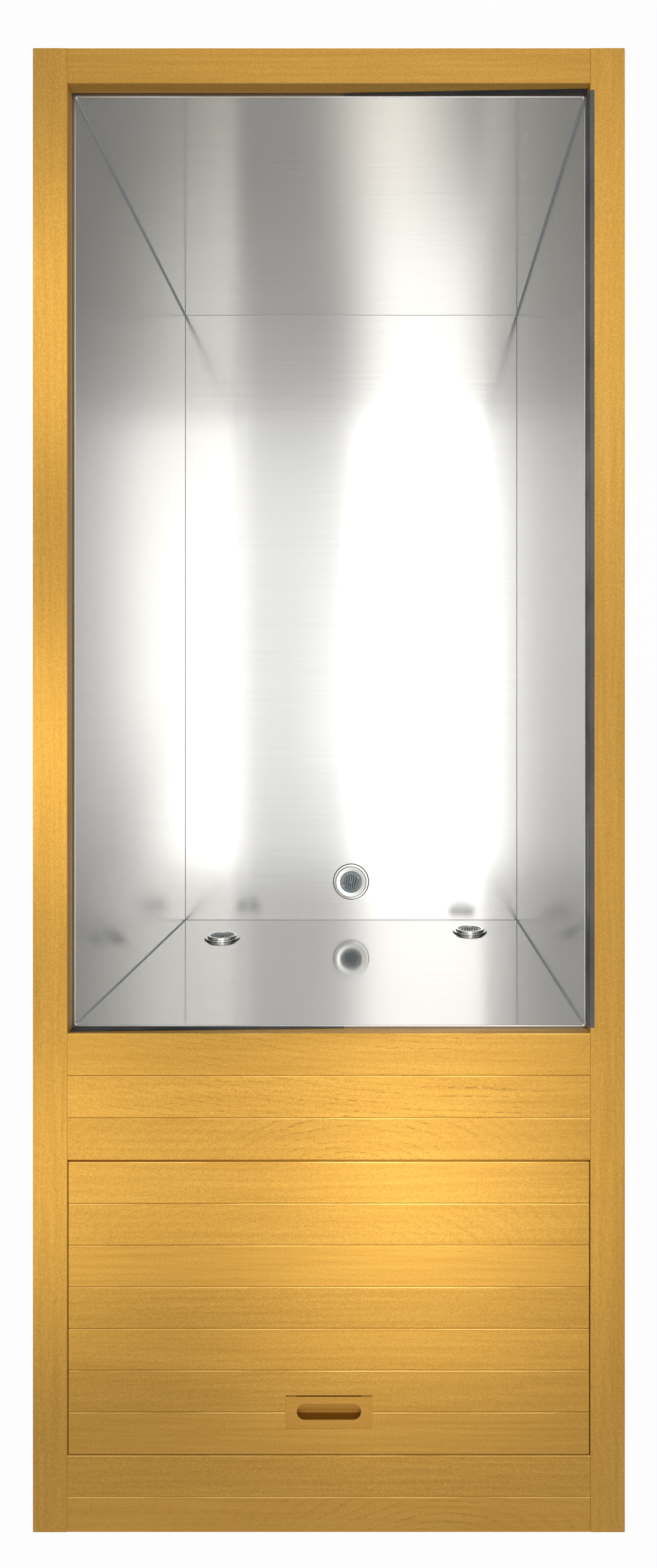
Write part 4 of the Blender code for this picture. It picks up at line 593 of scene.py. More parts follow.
figured_boards = {
    "deck_plank_1": (0.30, 0.10, 0.9, 0.08, 0.40),
    "deck_plank_2": (0.25, -0.10, 1.0, 0.06, 0.42),
    "deck_plank_3": (0.03, -0.512, 0.9, 0.04, 0.24),
    "hatch_plank_2": (-0.02, -0.640, 0.5, 0.14, 0.20),
    "deck_rail_foot": (0.16, -1.030, 0.6, 0.16, 0.30),
}
crosswise = ["deck_rail_head", "deck_rail_foot", "deck_joist"]
crosswise += [f"deck_plank_{number}" for number in range(1, 5)]
crosswise += [f"hatch_plank_{number}" for number in range(1, 8)]
for node in crosswise:
    wooden(node, wood_across, figured=figured_boards.get(node))
for node in ("deck_rail_left", "deck_rail_right", "hatch_cleat_left", "hatch_cleat_right"):
    wooden(node, wood_along)

wall_low, wall_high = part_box("side_panel_left")
board_height = (wall_high.z - wall_low.z) / WALL_BOARDS


def wall_board(face):
    """The number of the wall board that a face belongs to, counted from below."""
    return int((face.calc_center_median().z - wall_low.z) / board_height)


for sides, material in ((("left", "right"), wood_along), (("head", "foot"), wood_across)):
    for side in sides:
        wooden(f"side_panel_{side}", material, wall_board, edge=WALL_EDGE)
wooden("base_frame", wood_along, edge=PLINTH_EDGE)

# %% [markdown]
# The tub is folded from satin stainless sheet. Its fine brush lines smear a reflection a little across
# themselves, which the shader's anisotropy does if it knows the direction. A UV map named brush gives that: U
# runs across the lines, up the end walls and along the floor and the side walls. The end walls are smoother
# and a little darker. The floor is welded in, so its edge gets a narrow seam, and the upright corners are
# tight dressed welds with a duller face, whose paler tone is a painted highlight along the bends.

# %% Brushed steel
TUB_BEND = 0.0090
CORNER_BEND = 0.0025
SEAM_WIDTH = 0.0008
SHORTEST_SEAM = 0.0006
RIM_ROUND = 0.0028
DRAIN_REACH = 0.05

brushed, at, out = effect("brush_lines", {"Vector": "Vector"}, {"Lines": "Float", "Smears": "Float"})
fine = noise(brushed, at["Vector"], (1500.0, 9.0, 1.0))
broad = noise(brushed, at["Vector"], (120.0, 2.0, 1.0))
smears = noise(brushed, at["Vector"], (5.0, 5.0, 1.0))
brushed.links.new(spread(brushed, weighed(brushed, 0.6, fine, broad), 0.35, 0.65), out["Lines"])
brushed.links.new(spread(brushed, smears, 0.35, 0.70), out["Smears"])


def brushed_metal(name, pale, deep, gloss, relief, smear):
    """Brushed sheet metal on a UV map named brush. Gloss is its least and greatest roughness."""
    material, tree, shader = new_material(name)
    place = make(tree, "UVMap", uv_map="brush").outputs[0]
    marks = make(tree, "Group", {"Vector": place}, node_tree=brushed).outputs
    tangent = make(tree, "Tangent", direction_type="UV_MAP", uv_map="brush").outputs[0]
    smears_and_painted_sheen = weighed(tree, 0.5, marks["Lines"], marks["Smears"])
    feed(tree, shader, Base_Color=mixed(tree, marks["Lines"], deep, pale), Metallic=0.88, Anisotropic=smear)
    feed(tree, shader, Specular_Tint=(0.88, 0.88, 0.88, 1.0))
    feed(tree, shader, Roughness=spread(tree, smears_and_painted_sheen, 0.0, 1.0, *gloss), Tangent=tangent)
    feed(tree, shader, Normal=bump(tree, marks["Lines"], relief, 0.0001))
    return material


def lay_brush(bm):
    """U runs across the brush lines: up the end walls, and along Y elsewhere."""
    layer = bm.loops.layers.uv.new("brush")
    for face in bm.faces:
        size = [abs(value) for value in face.normal]
        end_wall = size[1] == max(size)
        side_wall = size[0] == max(size)
        for loop in face.loops:
            place = loop.vert.co
            loop[layer].uv = (place.z if end_wall else place.y, place.z if side_wall else place.x)


def tighten_corners(bm, floor_face):
    """Draws the sheet's upright bends out into the corners, where they shrink to tight seams."""
    reach = TUB_BEND - CORNER_BEND
    across = [vert.co.x for vert in floor_face.verts]
    along = [vert.co.y for vert in floor_face.verts]
    middle = Vector((min(across) + max(across), min(along) + max(along))) / 2
    half = Vector((max(across), max(along))) - middle - Vector((TUB_BEND, TUB_BEND))
    for vert in bm.verts:
        side = Vector((math.copysign(1, vert.co.x - middle.x), math.copysign(1, vert.co.y - middle.y)))
        pivot = middle + side * half
        arm = vert.co.xy - pivot
        if min(arm * side) > -MERGE:
            vert.co.xy = pivot + side * reach + arm * (1 - reach / arm.length)


steel = brushed_metal("brushed_stainless", (0.66, 0.655, 0.64), (0.63, 0.625, 0.61), (0.17, 0.20), 0.02, 0.80)
end_tones = (0.545, 0.54, 0.525), (0.515, 0.51, 0.495)
end_steel = brushed_metal("end_stainless", *end_tones, (0.07, 0.10), 0.01, 0.2)
weld = brushed_metal("weld_seam", (0.58, 0.58, 0.57), (0.48, 0.48, 0.47), (0.30, 0.45), 0.30, 0.5)
# The dressed weld is duller, and its pale tone is a painted highlight of the corner bends.
dressed_weld_painted_sheen = brushed_metal("dressed_weld_painted_sheen", (0.86, 0.86, 0.85), (0.80, 0.80, 0.79), (0.42, 0.50), 0.01, 0.3)

bm = merged_copy("tub_shell")
level = [face for face in bm.faces if face.normal.z > 0.9 and face.calc_area() > 0.5]
floor_face = max(level, key=lambda face: face.calc_center_median().z)
tub_floor = floor_face.calc_center_median().z
tighten_corners(bm, floor_face)
drain_middle = centre("drain_flange").xy
seam = []
for edge in sharp_edges(bm):
    low = all(abs(vert.co.z - tub_floor) < MERGE for vert in edge.verts)
    at_drain = (edge.verts[0].co.xy - drain_middle).length <= DRAIN_REACH
    if low and not at_drain and edge.calc_length() > SHORTEST_SEAM:
        seam.append(edge)
for face in soften(bm, seam, SEAM_WIDTH, 3)["faces"]:
    face.material_index = 1
inner_rim = []
for edge in sharp_edges(bm):
    ends = [vert.co for vert in edge.verts]
    if all(end.z > tub_floor + 0.5 and abs(end.x) < OPENING_X for end in ends):
        inner_rim.append(edge)
soften(bm, inner_rim, RIM_ROUND, 5)
# The upright corner bends take the dressed weld, whose pale tone is a painted highlight.
for face in bm.faces:
    if abs(face.normal.z) < 0.3 and min(abs(face.normal.x), abs(face.normal.y)) > 0.2:
        face.material_index = 2
    elif abs(face.normal.y) > 0.9:
        face.material_index = 3
lay_brush(bm)
show("tub_shell_brushed", bm, "stainless", steel, weld, dressed_weld_painted_sheen, end_steel, node="tub_shell")
print("tub floor at", round(tub_floor, 4), "with", len(seam), "seam edges")

# %% [markdown]
# Most other pieces have plain finishes: satin metal, rubber, moulded plastic, paint, copper. None of them is
# one flat colour. Hands and water leave broad smudges, and the surface itself has a fine grain. One node
# group draws both, and one function makes a finish from it. A finish has a pale and a deep tone, its least
# and greatest roughness, the size of its grain and how strongly that shows, and then its share of metal and
# of clear coat.

# %% Plain finishes
surface_marks, at, out = effect(
    "surface_marks",
    {"Vector": "Vector", "Grain Size": "Float"},
    {"Smudge": "Float", "Grain": "Float"},
)
tree = surface_marks
broad = noise(tree, at["Vector"], (14.0, 14.0, 14.0), 4.0)
tree.links.new(spread(tree, broad, 0.35, 0.68), out["Smudge"])
fine_scale = calc(tree, "DIVIDE", 1.0, at["Grain Size"])
fine = make(tree, "TexNoise", {"Vector": at["Vector"], "Scale": fine_scale, "Detail": 2.0}).outputs["Fac"]
tree.links.new(spread(tree, fine, 0.30, 0.70), out["Grain"])


def plain_finish(name, pale, deep, gloss, grain, relief, metallic=0.0, coat=0.0):
    """A finish of two tones. Gloss is its least and greatest roughness, and grain its texture's size."""
    material, tree, shader = new_material(name)
    inputs = {"Vector": on_object(tree), "Grain Size": grain}
    marks = make(tree, "Group", inputs, node_tree=surface_marks).outputs
    tone = weighed(tree, 0.65, marks["Smudge"], marks["Grain"])
    feed(tree, shader, Base_Color=mixed(tree, tone, pale, deep), Metallic=metallic, Coat_Weight=coat)
    feed(tree, shader, Roughness=spread(tree, marks["Smudge"], 0.0, 1.0, *gloss))
    feed(tree, shader, Normal=bump(tree, marks["Grain"], relief, grain / 4))
    return material


finishes = {
    "satin_fitting": ((0.66, 0.66, 0.64), (0.58, 0.58, 0.56), (0.14, 0.24), 0.0008, 0.03, 1.0),
    "screw_steel": ((0.60, 0.60, 0.60), (0.45, 0.45, 0.46), (0.22, 0.38), 0.0006, 0.1, 1.0),
    "copper_line": ((0.72, 0.36, 0.22), (0.50, 0.22, 0.13), (0.20, 0.42), 0.0015, 0.05, 1.0),
    "valve_brass": ((0.62, 0.44, 0.17), (0.45, 0.30, 0.10), (0.24, 0.42), 0.0008, 0.15, 1.0),
    "dull_aluminium": ((0.44, 0.45, 0.46), (0.34, 0.35, 0.36), (0.42, 0.58), 0.0008, 0.1, 1.0),
    "mill_aluminium": ((0.70, 0.71, 0.72), (0.56, 0.57, 0.58), (0.32, 0.46), 0.0008, 0.1, 1.0),
    "seal_rubber": ((0.030, 0.031, 0.034), (0.016, 0.016, 0.018), (0.55, 0.80), 0.0008, 0.3),
    "trim_rubber": ((0.078, 0.078, 0.081), (0.052, 0.052, 0.055), (0.42, 0.62), 0.0008, 0.2),
    "grate_plastic": ((0.36, 0.42, 0.45), (0.28, 0.335, 0.36), (0.30, 0.48), 0.0008, 0.2),
    "housing_plastic": ((0.052, 0.053, 0.057), (0.032, 0.033, 0.036), (0.34, 0.55), 0.0009, 0.35),
    "bowl_plastic": ((0.045, 0.125, 0.27), (0.030, 0.085, 0.20), (0.16, 0.30), 0.003, 0.1, 0.0, 0.3),
    "pipe_plastic": ((0.74, 0.75, 0.74), (0.63, 0.64, 0.62), (0.28, 0.45), 0.002, 0.08),
    "machine_paint": ((0.034, 0.034, 0.037), (0.020, 0.020, 0.022), (0.32, 0.52), 0.0016, 0.3),
    "motor_paint": ((0.055, 0.125, 0.23), (0.035, 0.085, 0.165), (0.28, 0.46), 0.0018, 0.3),
    "lever_coat": ((0.44, 0.032, 0.022), (0.32, 0.020, 0.014), (0.30, 0.48), 0.0016, 0.25),
    "button_plastic": ((0.66, 0.67, 0.68), (0.54, 0.55, 0.56), (0.25, 0.40), 0.0008, 0.1),
    "filter_paper": ((0.78, 0.79, 0.79), (0.66, 0.68, 0.69), (0.80, 0.95), 0.0012, 0.5),
    "display_window": ((0.012, 0.014, 0.016), (0.008, 0.009, 0.010), (0.05, 0.12), 0.004, 0.01, 0.0, 0.5),
    "grey_conduit": ((0.34, 0.35, 0.36), (0.26, 0.27, 0.28), (0.45, 0.65), 0.0012, 0.2),
}
finish = {name: plain_finish(name, *values) for name, values in finishes.items()}
rubber, housing, screw_steel = finish["seal_rubber"], finish["housing_plastic"], finish["screw_steel"]
print("plain finishes:", len(finish))

# %% [markdown]
# Round pieces come off a lathe: the half section is drawn as a few points and spun about an axis. Sections
# are given in millimetres here, because that is how a turner's drawing reads. Small blocks, rods and screws
# are added to the same mesh with their edges eased, since a real edge always catches a little light.

# %% Lathe and bench helpers
UP = Vector((0.0, 0.0, 1.0))
HEAD_WARD = Vector((0.0, 1.0, 0.0))
FOOT_WARD = -HEAD_WARD
RIGHT = Vector((1.0, 0.0, 0.0))


def aimed(place, way=UP):
    """The matrix that puts a shape's origin at a place and turns its Z to a direction."""
    return Matrix.Translation(place) @ UP.rotation_difference(Vector(way)).to_matrix().to_4x4()


def around(place, way, count, start=0.0):
    """Matrices that set shapes out evenly about an axis, from a start angle in degrees."""
    for number in range(count):
        turn = math.radians(start + 360 * number / count)
        yield aimed(place, way) @ Matrix.Rotation(turn, 4, "Z")


def turned(section, place, way=UP, steps=64):
    """Spins a section of (radius, height) points in millimetres. Off the axis, it is a closed loop."""
    bm = bmesh.new()
    points = [bm.verts.new((radius / 1000, 0.0, height / 1000)) for radius, height in section]
    lines = [bm.edges.new(pair) for pair in zip(points, points[1:])]
    if section[0][0] > 0:
        lines.append(bm.edges.new((points[-1], points[0])))
    bmesh.ops.spin(
        bm,
        geom=points + lines,
        cent=(0, 0, 0),
        axis=(0, 0, 1),
        angle=2 * math.pi,
        steps=steps,
        use_merge=True,
    )
    bmesh.ops.remove_doubles(bm, verts=bm.verts, dist=MERGE)
    bmesh.ops.recalc_face_normals(bm, faces=bm.faces)
    bmesh.ops.transform(bm, matrix=aimed(place, way), verts=bm.verts)
    return bm


def ease(bm, verts, edge):
    """Rounds the sharp edges of a newly added shape."""
    edges = {line for vert in verts for line in vert.link_edges if line.calc_face_angle(0.0) > SHARP}
    if edge:
        soften(bm, list(edges), edge)


def add_box(bm, low, high):
    """Adds a sharp block between two corners. Returns its vertices."""
    low, high = Vector(low), Vector(high)
    verts = bmesh.ops.create_cube(bm, size=1.0)["verts"]
    bmesh.ops.scale(bm, vec=high - low, verts=verts)
    bmesh.ops.translate(bm, vec=(low + high) / 2, verts=verts)
    return verts


def add_block(bm, low, high, edge=0.001, matrix=Matrix()):
    """Adds an eased block between two corners, moved by a matrix."""
    verts = add_box(bm, low, high)
    bmesh.ops.transform(bm, matrix=matrix, verts=verts)
    ease(bm, verts, edge)


def add_rod(bm, start, end, radius, sides=32, edge=0.0008, tip=None):
    """Adds a round rod, or a taper where a tip radius is given. Six sides make a nut."""
    start, end = Vector(start), Vector(end)
    verts = bmesh.ops.create_cone(
        bm,
        cap_ends=True,
        segments=sides,
        radius1=radius,
        radius2=tip or radius,
        depth=(end - start).length,
    )["verts"]
    bmesh.ops.transform(bm, matrix=aimed((start + end) / 2, end - start), verts=verts)
    ease(bm, verts, edge)


def add_shape(bm, other):
    """Adds another bmesh, which is then spent."""
    mesh = bpy.data.meshes.new("spare")
    other.to_mesh(mesh)
    other.free()
    bm.from_mesh(mesh)
    bpy.data.meshes.remove(mesh)


def add_screw(bm, place, way, radius):
    """Adds a low screw head with a round socket."""
    size = radius * 1000
    head = [(0.0, 0.15), (0.42, 0.15), (0.42, 0.50), (0.78, 0.50), (0.95, 0.36), (1.0, 0.2)]
    head += [(1.0, 0.0), (0.0, 0.0)]
    add_shape(bm, turned([(size * out, size * high) for out, high in head], place, way, 18))


print("lathe and bench helpers ready")

# %% [markdown]
# Three satin metal fittings sit in the tub, each a stepped flange round a grey grate with S-shaped slots. A
# lathe section gives the flange its flat skirt, the groove, the raised ring and the level face. Each sits on
# a thin rubber washer, which shows as a dark line round it.

# %% Tub fittings
FLANGE = 7.5
BORE = 17.4
TAIL = 22.4
fittings = {}
for name, way in (("suction", HEAD_WARD), ("return", HEAD_WARD), ("drain", UP)):
    low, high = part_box(f"{name}_flange")
    depth = (high - low).dot(way)
    front = (low + high) / 2 + way * (depth / 2)
    fittings[name] = front - way * FLANGE / 1000, way, (high - low).x * 500, depth * 1000 - FLANGE

for name, (place, way, radius, tail) in fittings.items():
    section = [(BORE, -tail), (TAIL, -tail), (TAIL, 0.3), (radius - 0.8, 0.3), (radius - 0.8, 2.0)]
    section += [(radius - 1.1, 2.8), (radius - 1.7, 3.1), (radius - 4.9, 3.3), (radius - 5.4, 3.0)]
    section += [(radius - 5.6, 5.4), (radius - 6.0, 6.8), (radius - 6.6, 7.4), (radius - 7.6, 7.4)]
    section += [(24.0, 7.2), (22.9, 6.8), (TAIL, 6.0), (TAIL, 3.4), (BORE, 3.4)]
    bm = turned(section, place, way, 72)
    show(f"{name}_flange_turned", bm, "chrome_fitting", finish["satin_fitting"], node=f"{name}_flange")
    washer = [(radius - 3.0, 0.02), (radius + 0.4, 0.02), (radius + 0.4, 0.26), (radius - 3.0, 0.26)]
    show(f"{name}_flange_washer", turned(washer, place, way, 72), "rubber_seal", rubber)
    dress(f"{name}_grate", "grate_plastic", finish["grate_plastic"], 0.0003)
    bm = turned([(0.0, 5.4), (3.6, 5.4), (3.6, 6.5), (3.1, 6.9), (0.0, 6.9)], place, way, 32)
    add_screw(bm, place + way * 0.0068, way, 0.0024)
    show(f"{name}_grate_screw", bm, "grate_plastic", finish["grate_plastic"])
print("fittings:", {name: round(fitting[2], 1) for name, fitting in fittings.items()})

# %% [markdown]
# The finger pull is a block of darker wood let into the hatch, with a thin gap at its head side. A router
# leaves its slot with rounded ends, a soft slope for the fingertips on the head side and an undercut to lift
# by on the foot side. A circle pulled apart gives the slot's outline. Its edge is extruded out to the block's
# own outline, and down in rings that lean to the foot. The wall at the foot side gets painted shade: a much
# darker copy of the stain that stands in for the deep shadow under the lip.

# %% Finger pull
pull_low, pull_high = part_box("hatch_pull")
PULL_MIDDLE = Vector((*centre("hatch_pull").xy, pull_high.z))
SLOT_ROUND = 0.01115
SLOT_HALF = 0.0440
SLOT_STEPS = 64
SLOT_EDGE = 0.0005
BLOCK_X = 0.0591
BLOCK_HEAD = 0.0206
BLOCK_FOOT = 0.0231
LIP = 0.0084
LIP_TOP = 0.7429 - pull_high.z
LIP_FOOT = pull_low.z - pull_high.z


def grown_ring(bm, edges):
    """Extrudes a ring of edges. Returns its new vertices and the new ring."""
    made = bmesh.ops.extrude_edge_only(bm, edges=edges)["geom"]
    verts = {item for item in made if isinstance(item, bmesh.types.BMVert)}
    lines = [item for item in made if isinstance(item, bmesh.types.BMEdge)]
    return list(verts), [line for line in lines if verts.issuperset(line.verts)]


def to_block_outline(point):
    """Pushes a point of the slot's outline out to the block's, away from the slot's middle line."""
    centre_x = math.copysign(SLOT_HALF - SLOT_ROUND, point.x)
    way = Vector((point.x - centre_x, point.y))
    side = BLOCK_HEAD if point.y > 0 else BLOCK_FOOT
    reach_x = (BLOCK_X - abs(centre_x)) / max(abs(way.x), MERGE)
    reach_y = side / max(abs(way.y), MERGE)
    return Vector((centre_x, 0.0)) + way * min(reach_x, reach_y)


bm = bmesh.new()
lean = bm.verts.layers.float.new("lean")
bmesh.ops.create_circle(bm, cap_ends=False, segments=SLOT_STEPS, radius=SLOT_ROUND)
half_step = Matrix.Rotation(math.pi / SLOT_STEPS, 3, "Z")
bmesh.ops.rotate(bm, cent=(0, 0, 0), matrix=half_step, verts=bm.verts)
for vert in bm.verts:
    vert.co.x += math.copysign(SLOT_HALF - SLOT_ROUND, vert.co.x)
    vert[lean] = (vert.co.y / SLOT_ROUND + 1) / 2
rim = list(bm.edges)

verts, ring = grown_ring(bm, rim)
for vert in verts:
    vert.co.xy = to_block_outline(vert.co)
for corner_x in (-BLOCK_X, BLOCK_X):
    for corner_y in (-BLOCK_FOOT, BLOCK_HEAD):
        corner = Vector((corner_x, corner_y))
        nearest = min(verts, key=lambda vert: (vert.co.xy - corner).length)
        nearest.co.xy = corner
for level, wider in ((LIP_TOP, 0.0), (LIP_TOP, LIP), (LIP_FOOT, 0.0)):
    verts, ring = grown_ring(bm, ring)
    bmesh.ops.scale(bm, vec=(1 + wider / BLOCK_X, 1 + wider / BLOCK_FOOT, 1.0), verts=verts)
    for vert in verts:
        vert.co.z = level
bmesh.ops.edgeloop_fill(bm, edges=ring)

ring = rim
head_before = foot_before = 0.0
slot_steps = ((1.0, 1.7, 0.1), (3.0, 5.2, 0.3), (5.5, 9.2, 0.5), (8.0, 13.0, 0.6), (10.0, 16.0, 0.6))
slot_steps += ((11.5, 18.6, 0.5), (12.4, 20.4, 0.1), (12.8, 21.2, -0.4))
for depth, head_side, foot_side in slot_steps:
    verts, ring = grown_ring(bm, ring)
    for vert in verts:
        share = vert[lean]
        vert.co.y -= (share * (head_side - head_before) + (1 - share) * (foot_side - foot_before)) / 1000
        vert.co.z = -depth / 1000
    head_before, foot_before = head_side, foot_side
bmesh.ops.edgeloop_fill(bm, edges=ring)
bmesh.ops.recalc_face_normals(bm, faces=bm.faces)
soften(bm, rim, SLOT_EDGE, 3)
# Painted shade: slot faces down in the undercut that face the head take the dark copy of the stain.
for face in bm.faces:
    place = face.calc_center_median()
    in_slot = abs(place.x) < SLOT_HALF + MERGE and -0.0140 < place.z < -0.0006 and place.y > -0.0170
    if in_slot and face.normal.y > 0.05:
        face.material_index = 1
bmesh.ops.translate(bm, vec=PULL_MIDDLE, verts=bm.verts)
lay_grain(bm, chamfer_highlight=False)
show("hatch_pull_routed", bm, "wood_pull", wood_pull, painted_shade_pull, node="hatch_pull")
print("finger pull with", len(slot_steps), "slot rings")

# %% [markdown]
# A black rubber gasket lies between the tub's rim and the deck, a little behind the deck's edge. Its flap is
# pulled up on the inner face of the head rail and of the first deck board, and a grey edge trim covers the
# inner edge of the right rail. The flaps are thin wedges: a block that is squeezed at one end. The trim is a
# thin angle over the rail's edge.

# %% Seals and trim
RECESSED = 0.0030
SEAL_EDGE = 0.0004
FLAP = 0.0009
FLAP_FOOT = 0.0015
NEAR = 0.001
bm = merged_copy("tub_gasket")
opening_middle = (OPENING_HEAD + OPENING_FOOT) / 2
for vert in bm.verts:
    if abs(vert.co.x) < OPENING_X + NEAR and OPENING_FOOT - NEAR < vert.co.y < OPENING_HEAD + NEAR:
        vert.co.x *= 1 + RECESSED / OPENING_X
        vert.co.y += (vert.co.y - opening_middle) * 2 * RECESSED / (OPENING_HEAD - OPENING_FOOT)
soften(bm, sharp_edges(bm), SEAL_EDGE)
show("tub_gasket_dressed", bm, "rubber_seal", rubber, node="tub_gasket")


def seal_flap(name, start_x, end_x, face_y, out, start_height, end_height):
    """A flap of rubber on an inner face of the deck, which grows from one height to another along X."""
    bm = bmesh.new()
    sides = sorted((face_y, face_y + out * FLAP))
    foot = DECK_UNDER - FLAP_FOOT
    verts = add_box(bm, (start_x, sides[0], foot), (end_x, sides[1], DECK_UNDER))
    for vert in verts:
        if vert.co.z > foot + MERGE:
            near_start = abs(vert.co.x - start_x) < MERGE
            vert.co.z = DECK_UNDER + (start_height if near_start else end_height)
    soften(bm, list(bm.edges), 0.0003)
    return show(name, bm, "rubber_seal", rubber)


seal_flap("seal_flap_head", 0.020, OPENING_X - NEAR, OPENING_HEAD, -1, 0.0006, 0.0090)
seal_flap("seal_flap_foot", -OPENING_X + NEAR, 0.02, OPENING_FOOT, 1, 0.0130, 0.0004)

bm = bmesh.new()
trim_foot, trim_head = TRIM_ENDS
inner, outer = OPENING_X - TRIM_THICK, OPENING_X + TRIM_WIDTH
corners = [(inner, DECK_UNDER), (inner, DECK_TOP), (outer, DECK_TOP), (outer, DECK_TOP - TRIM_THICK)]
corners += [(OPENING_X, DECK_TOP - TRIM_THICK), (OPENING_X, DECK_UNDER)]
section = bm.faces.new([bm.verts.new((x, trim_foot, z)) for x, z in corners])
made = bmesh.ops.extrude_face_region(bm, geom=[section])["geom"]
moved = [item for item in made if isinstance(item, bmesh.types.BMVert)]
bmesh.ops.translate(bm, vec=(0.0, trim_head - trim_foot, 0.0), verts=moved)
bmesh.ops.recalc_face_normals(bm, faces=bm.faces)
soften(bm, sharp_edges(bm), SEAL_EDGE)
show("edge_trim_right", bm, "rubber_seal", finish["trim_rubber"])
print("seal flaps and trim ready")

# %% [markdown]
# Foam boards fill the space round the tub, and a plywood sheet is the cabinet's floor. Foam is pressed from
# beads, which cells of a Voronoi texture show. Galvanised sheet has larger flat crystals, so the same texture
# serves with bigger cells. Plywood is thin layers: a face with long grain, and stripes on its edges.

# %% Foam, plywood and galvanised sheet


def cells(tree, place, per_metre, output):
    """Cells of a Voronoi texture."""
    return make(tree, "TexVoronoi", {"Vector": place, "Scale": per_metre}).outputs[output]


foam, tree, shader = new_material("insulation_foam")
place = on_object(tree)
bead = spread(tree, cells(tree, place, 260.0, "Distance"), 0.0, 0.8)
patch = spread(tree, noise(tree, place, (6.0, 6.0, 6.0)), 0.35, 0.65)
tone = weighed(tree, 0.6, bead, patch)
feed(tree, shader, Base_Color=mixed(tree, tone, (0.62, 0.66, 0.70), (0.50, 0.54, 0.58)))
feed(tree, shader, Roughness=spread(tree, patch, 0.0, 1.0, 0.80, 0.95))
feed(tree, shader, Normal=bump(tree, calc(tree, "MULTIPLY", bead, -1.0), 0.6, 0.0008))

galvanised, tree, shader = new_material("galvanised_sheet")
crystal = parts(tree, cells(tree, on_object(tree), 70.0, "Color"))["X"]
feed(tree, shader, Base_Color=mixed(tree, crystal, (0.62, 0.63, 0.64), (0.46, 0.47, 0.49)), Metallic=1.0)
feed(tree, shader, Roughness=spread(tree, crystal, 0.0, 1.0, 0.30, 0.50))
feed(tree, shader, Normal=bump(tree, crystal, 0.15, 0.0003))

plywood, tree, shader = new_material("floor_plywood")
place = on_object(tree)
grain = spread(tree, noise(tree, place, (60.0, 3.0, 60.0), 5.0), 0.32, 0.68)
layer = spread(tree, calc(tree, "PINGPONG", parts(tree, place)["Z"], 0.0025), 0.0008, 0.0017)
tone = weighed(tree, 0.6, grain, layer)
feed(tree, shader, Base_Color=mixed(tree, tone, (0.50, 0.37, 0.22), (0.36, 0.24, 0.13)))
feed(tree, shader, Roughness=spread(tree, grain, 0.0, 1.0, 0.60, 0.80))
feed(tree, shader, Normal=bump(tree, grain, 0.2, 0.0004))

dress("tub_insulation", "foam", foam, 0.0010)
dress("floor_panel", "plywood", plywood, 0.0006)
dress("chiller_tray", "galvanised", galvanised, 0.0006)
dress("hatch_ledger", "aluminium_bar", finish["dull_aluminium"], 0.0004)
for side in ("left", "right"):
    dress(f"hatch_pivot_{side}", "stainless", screw_steel, 0.0004)

bm = bmesh.new()
for number in range(2, 8):
    board_y = centre(f"hatch_plank_{number}").y
    for side in ("left", "right"):
        cleat_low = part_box(f"hatch_cleat_{side}")[0]
        for shift in (-0.011, 0.011):
            place = (centre(f"hatch_cleat_{side}").x + shift, board_y + shift / 2, cleat_low.z)
            if place[1] > cleat_low.y + 0.008:
                add_screw(bm, place, -UP, 0.0038)
show("hatch_cleat_screws", bm, "stainless", screw_steel, body="hatch")
print("cabinet insides dressed")

# %% [markdown]
# White pressure pipe joins the pump, filter and chiller. Its bends come from a route with rounded corners: a
# curve with a round bevel follows the route, and its mesh gets a wall. A thick collar with a nut covers every
# end, where the pipe goes into its socket. Their radii are in millimetres, as on the lathe.

# %% Pipes
PIPE = 0.0170
PIPE_WALL = 0.0035
BEND = 0.0450
TIGHT_BEND = 0.0180
IN_SOCKET = 0.0190
RING_BORE = 16.8
NUT = 26.2
NUT_SIDES = 8
NUT_LENGTH = 0.0165
COLLAR = 21.2
COLLAR_LENGTH = 0.0065
LAP = 0.0005
STUB = TAIL / 1000
STUB_LENGTH = 0.0390
FILTER_PORT = 0.1200
EXCHANGER_PORT = 0.0950


def rounded_route(corners, radius, steps=10):
    """A route whose corners are arcs of a given radius."""
    corners = [Vector(corner) for corner in corners]
    route = [corners[0]]
    for before, corner, after in zip(corners, corners[1:], corners[2:]):
        way_in = (before - corner).normalized()
        way_out = (after - corner).normalized()
        half = way_in.angle(way_out) / 2
        middle = corner + (way_in + way_out).normalized() * radius / math.sin(half)
        first = corner + way_in * radius / math.tan(half) - middle
        last = corner + way_out * radius / math.tan(half) - middle
        turn = first.rotation_difference(last)
        for step in range(steps + 1):
            route.append(middle + turn.slerp(Quaternion(), 1 - step / steps) @ first)
    return route + [corners[-1]]


def rod_along(route, radius, caps, resolution=6):
    """The mesh of a round rod or skin that follows a route."""
    curve = bpy.data.curves.new("route", "CURVE")
    curve.dimensions = "3D"
    curve.bevel_depth = radius
    curve.bevel_resolution = resolution
    curve.use_fill_caps = caps
    spline = curve.splines.new("POLY")
    spline.points.add(len(route) - 1)
    for point, place in zip(spline.points, route):
        point.co = (*place, 1.0)
    guide = bpy.data.objects.new("route", curve)
    bm = bmesh.new()
    bm.from_mesh(guide.to_mesh())
    guide.to_mesh_clear()
    bpy.data.objects.remove(guide)
    bmesh.ops.remove_doubles(bm, verts=bm.verts, dist=MERGE)
    bmesh.ops.recalc_face_normals(bm, faces=bm.faces)
    return bm


def add_ring(bm, place, way, inner, outer, length, sides=48):
    """Adds an eased ring of a length in a direction. Radii are in millimetres, and few sides make a nut."""
    tall = length * 1000
    section = [(inner, 0.0), (outer - 0.8, 0.0), (outer, 0.8)]
    section += [(outer, tall - 0.8), (outer - 0.8, tall), (inner, tall)]
    add_shape(bm, turned(section, place, way, sides))


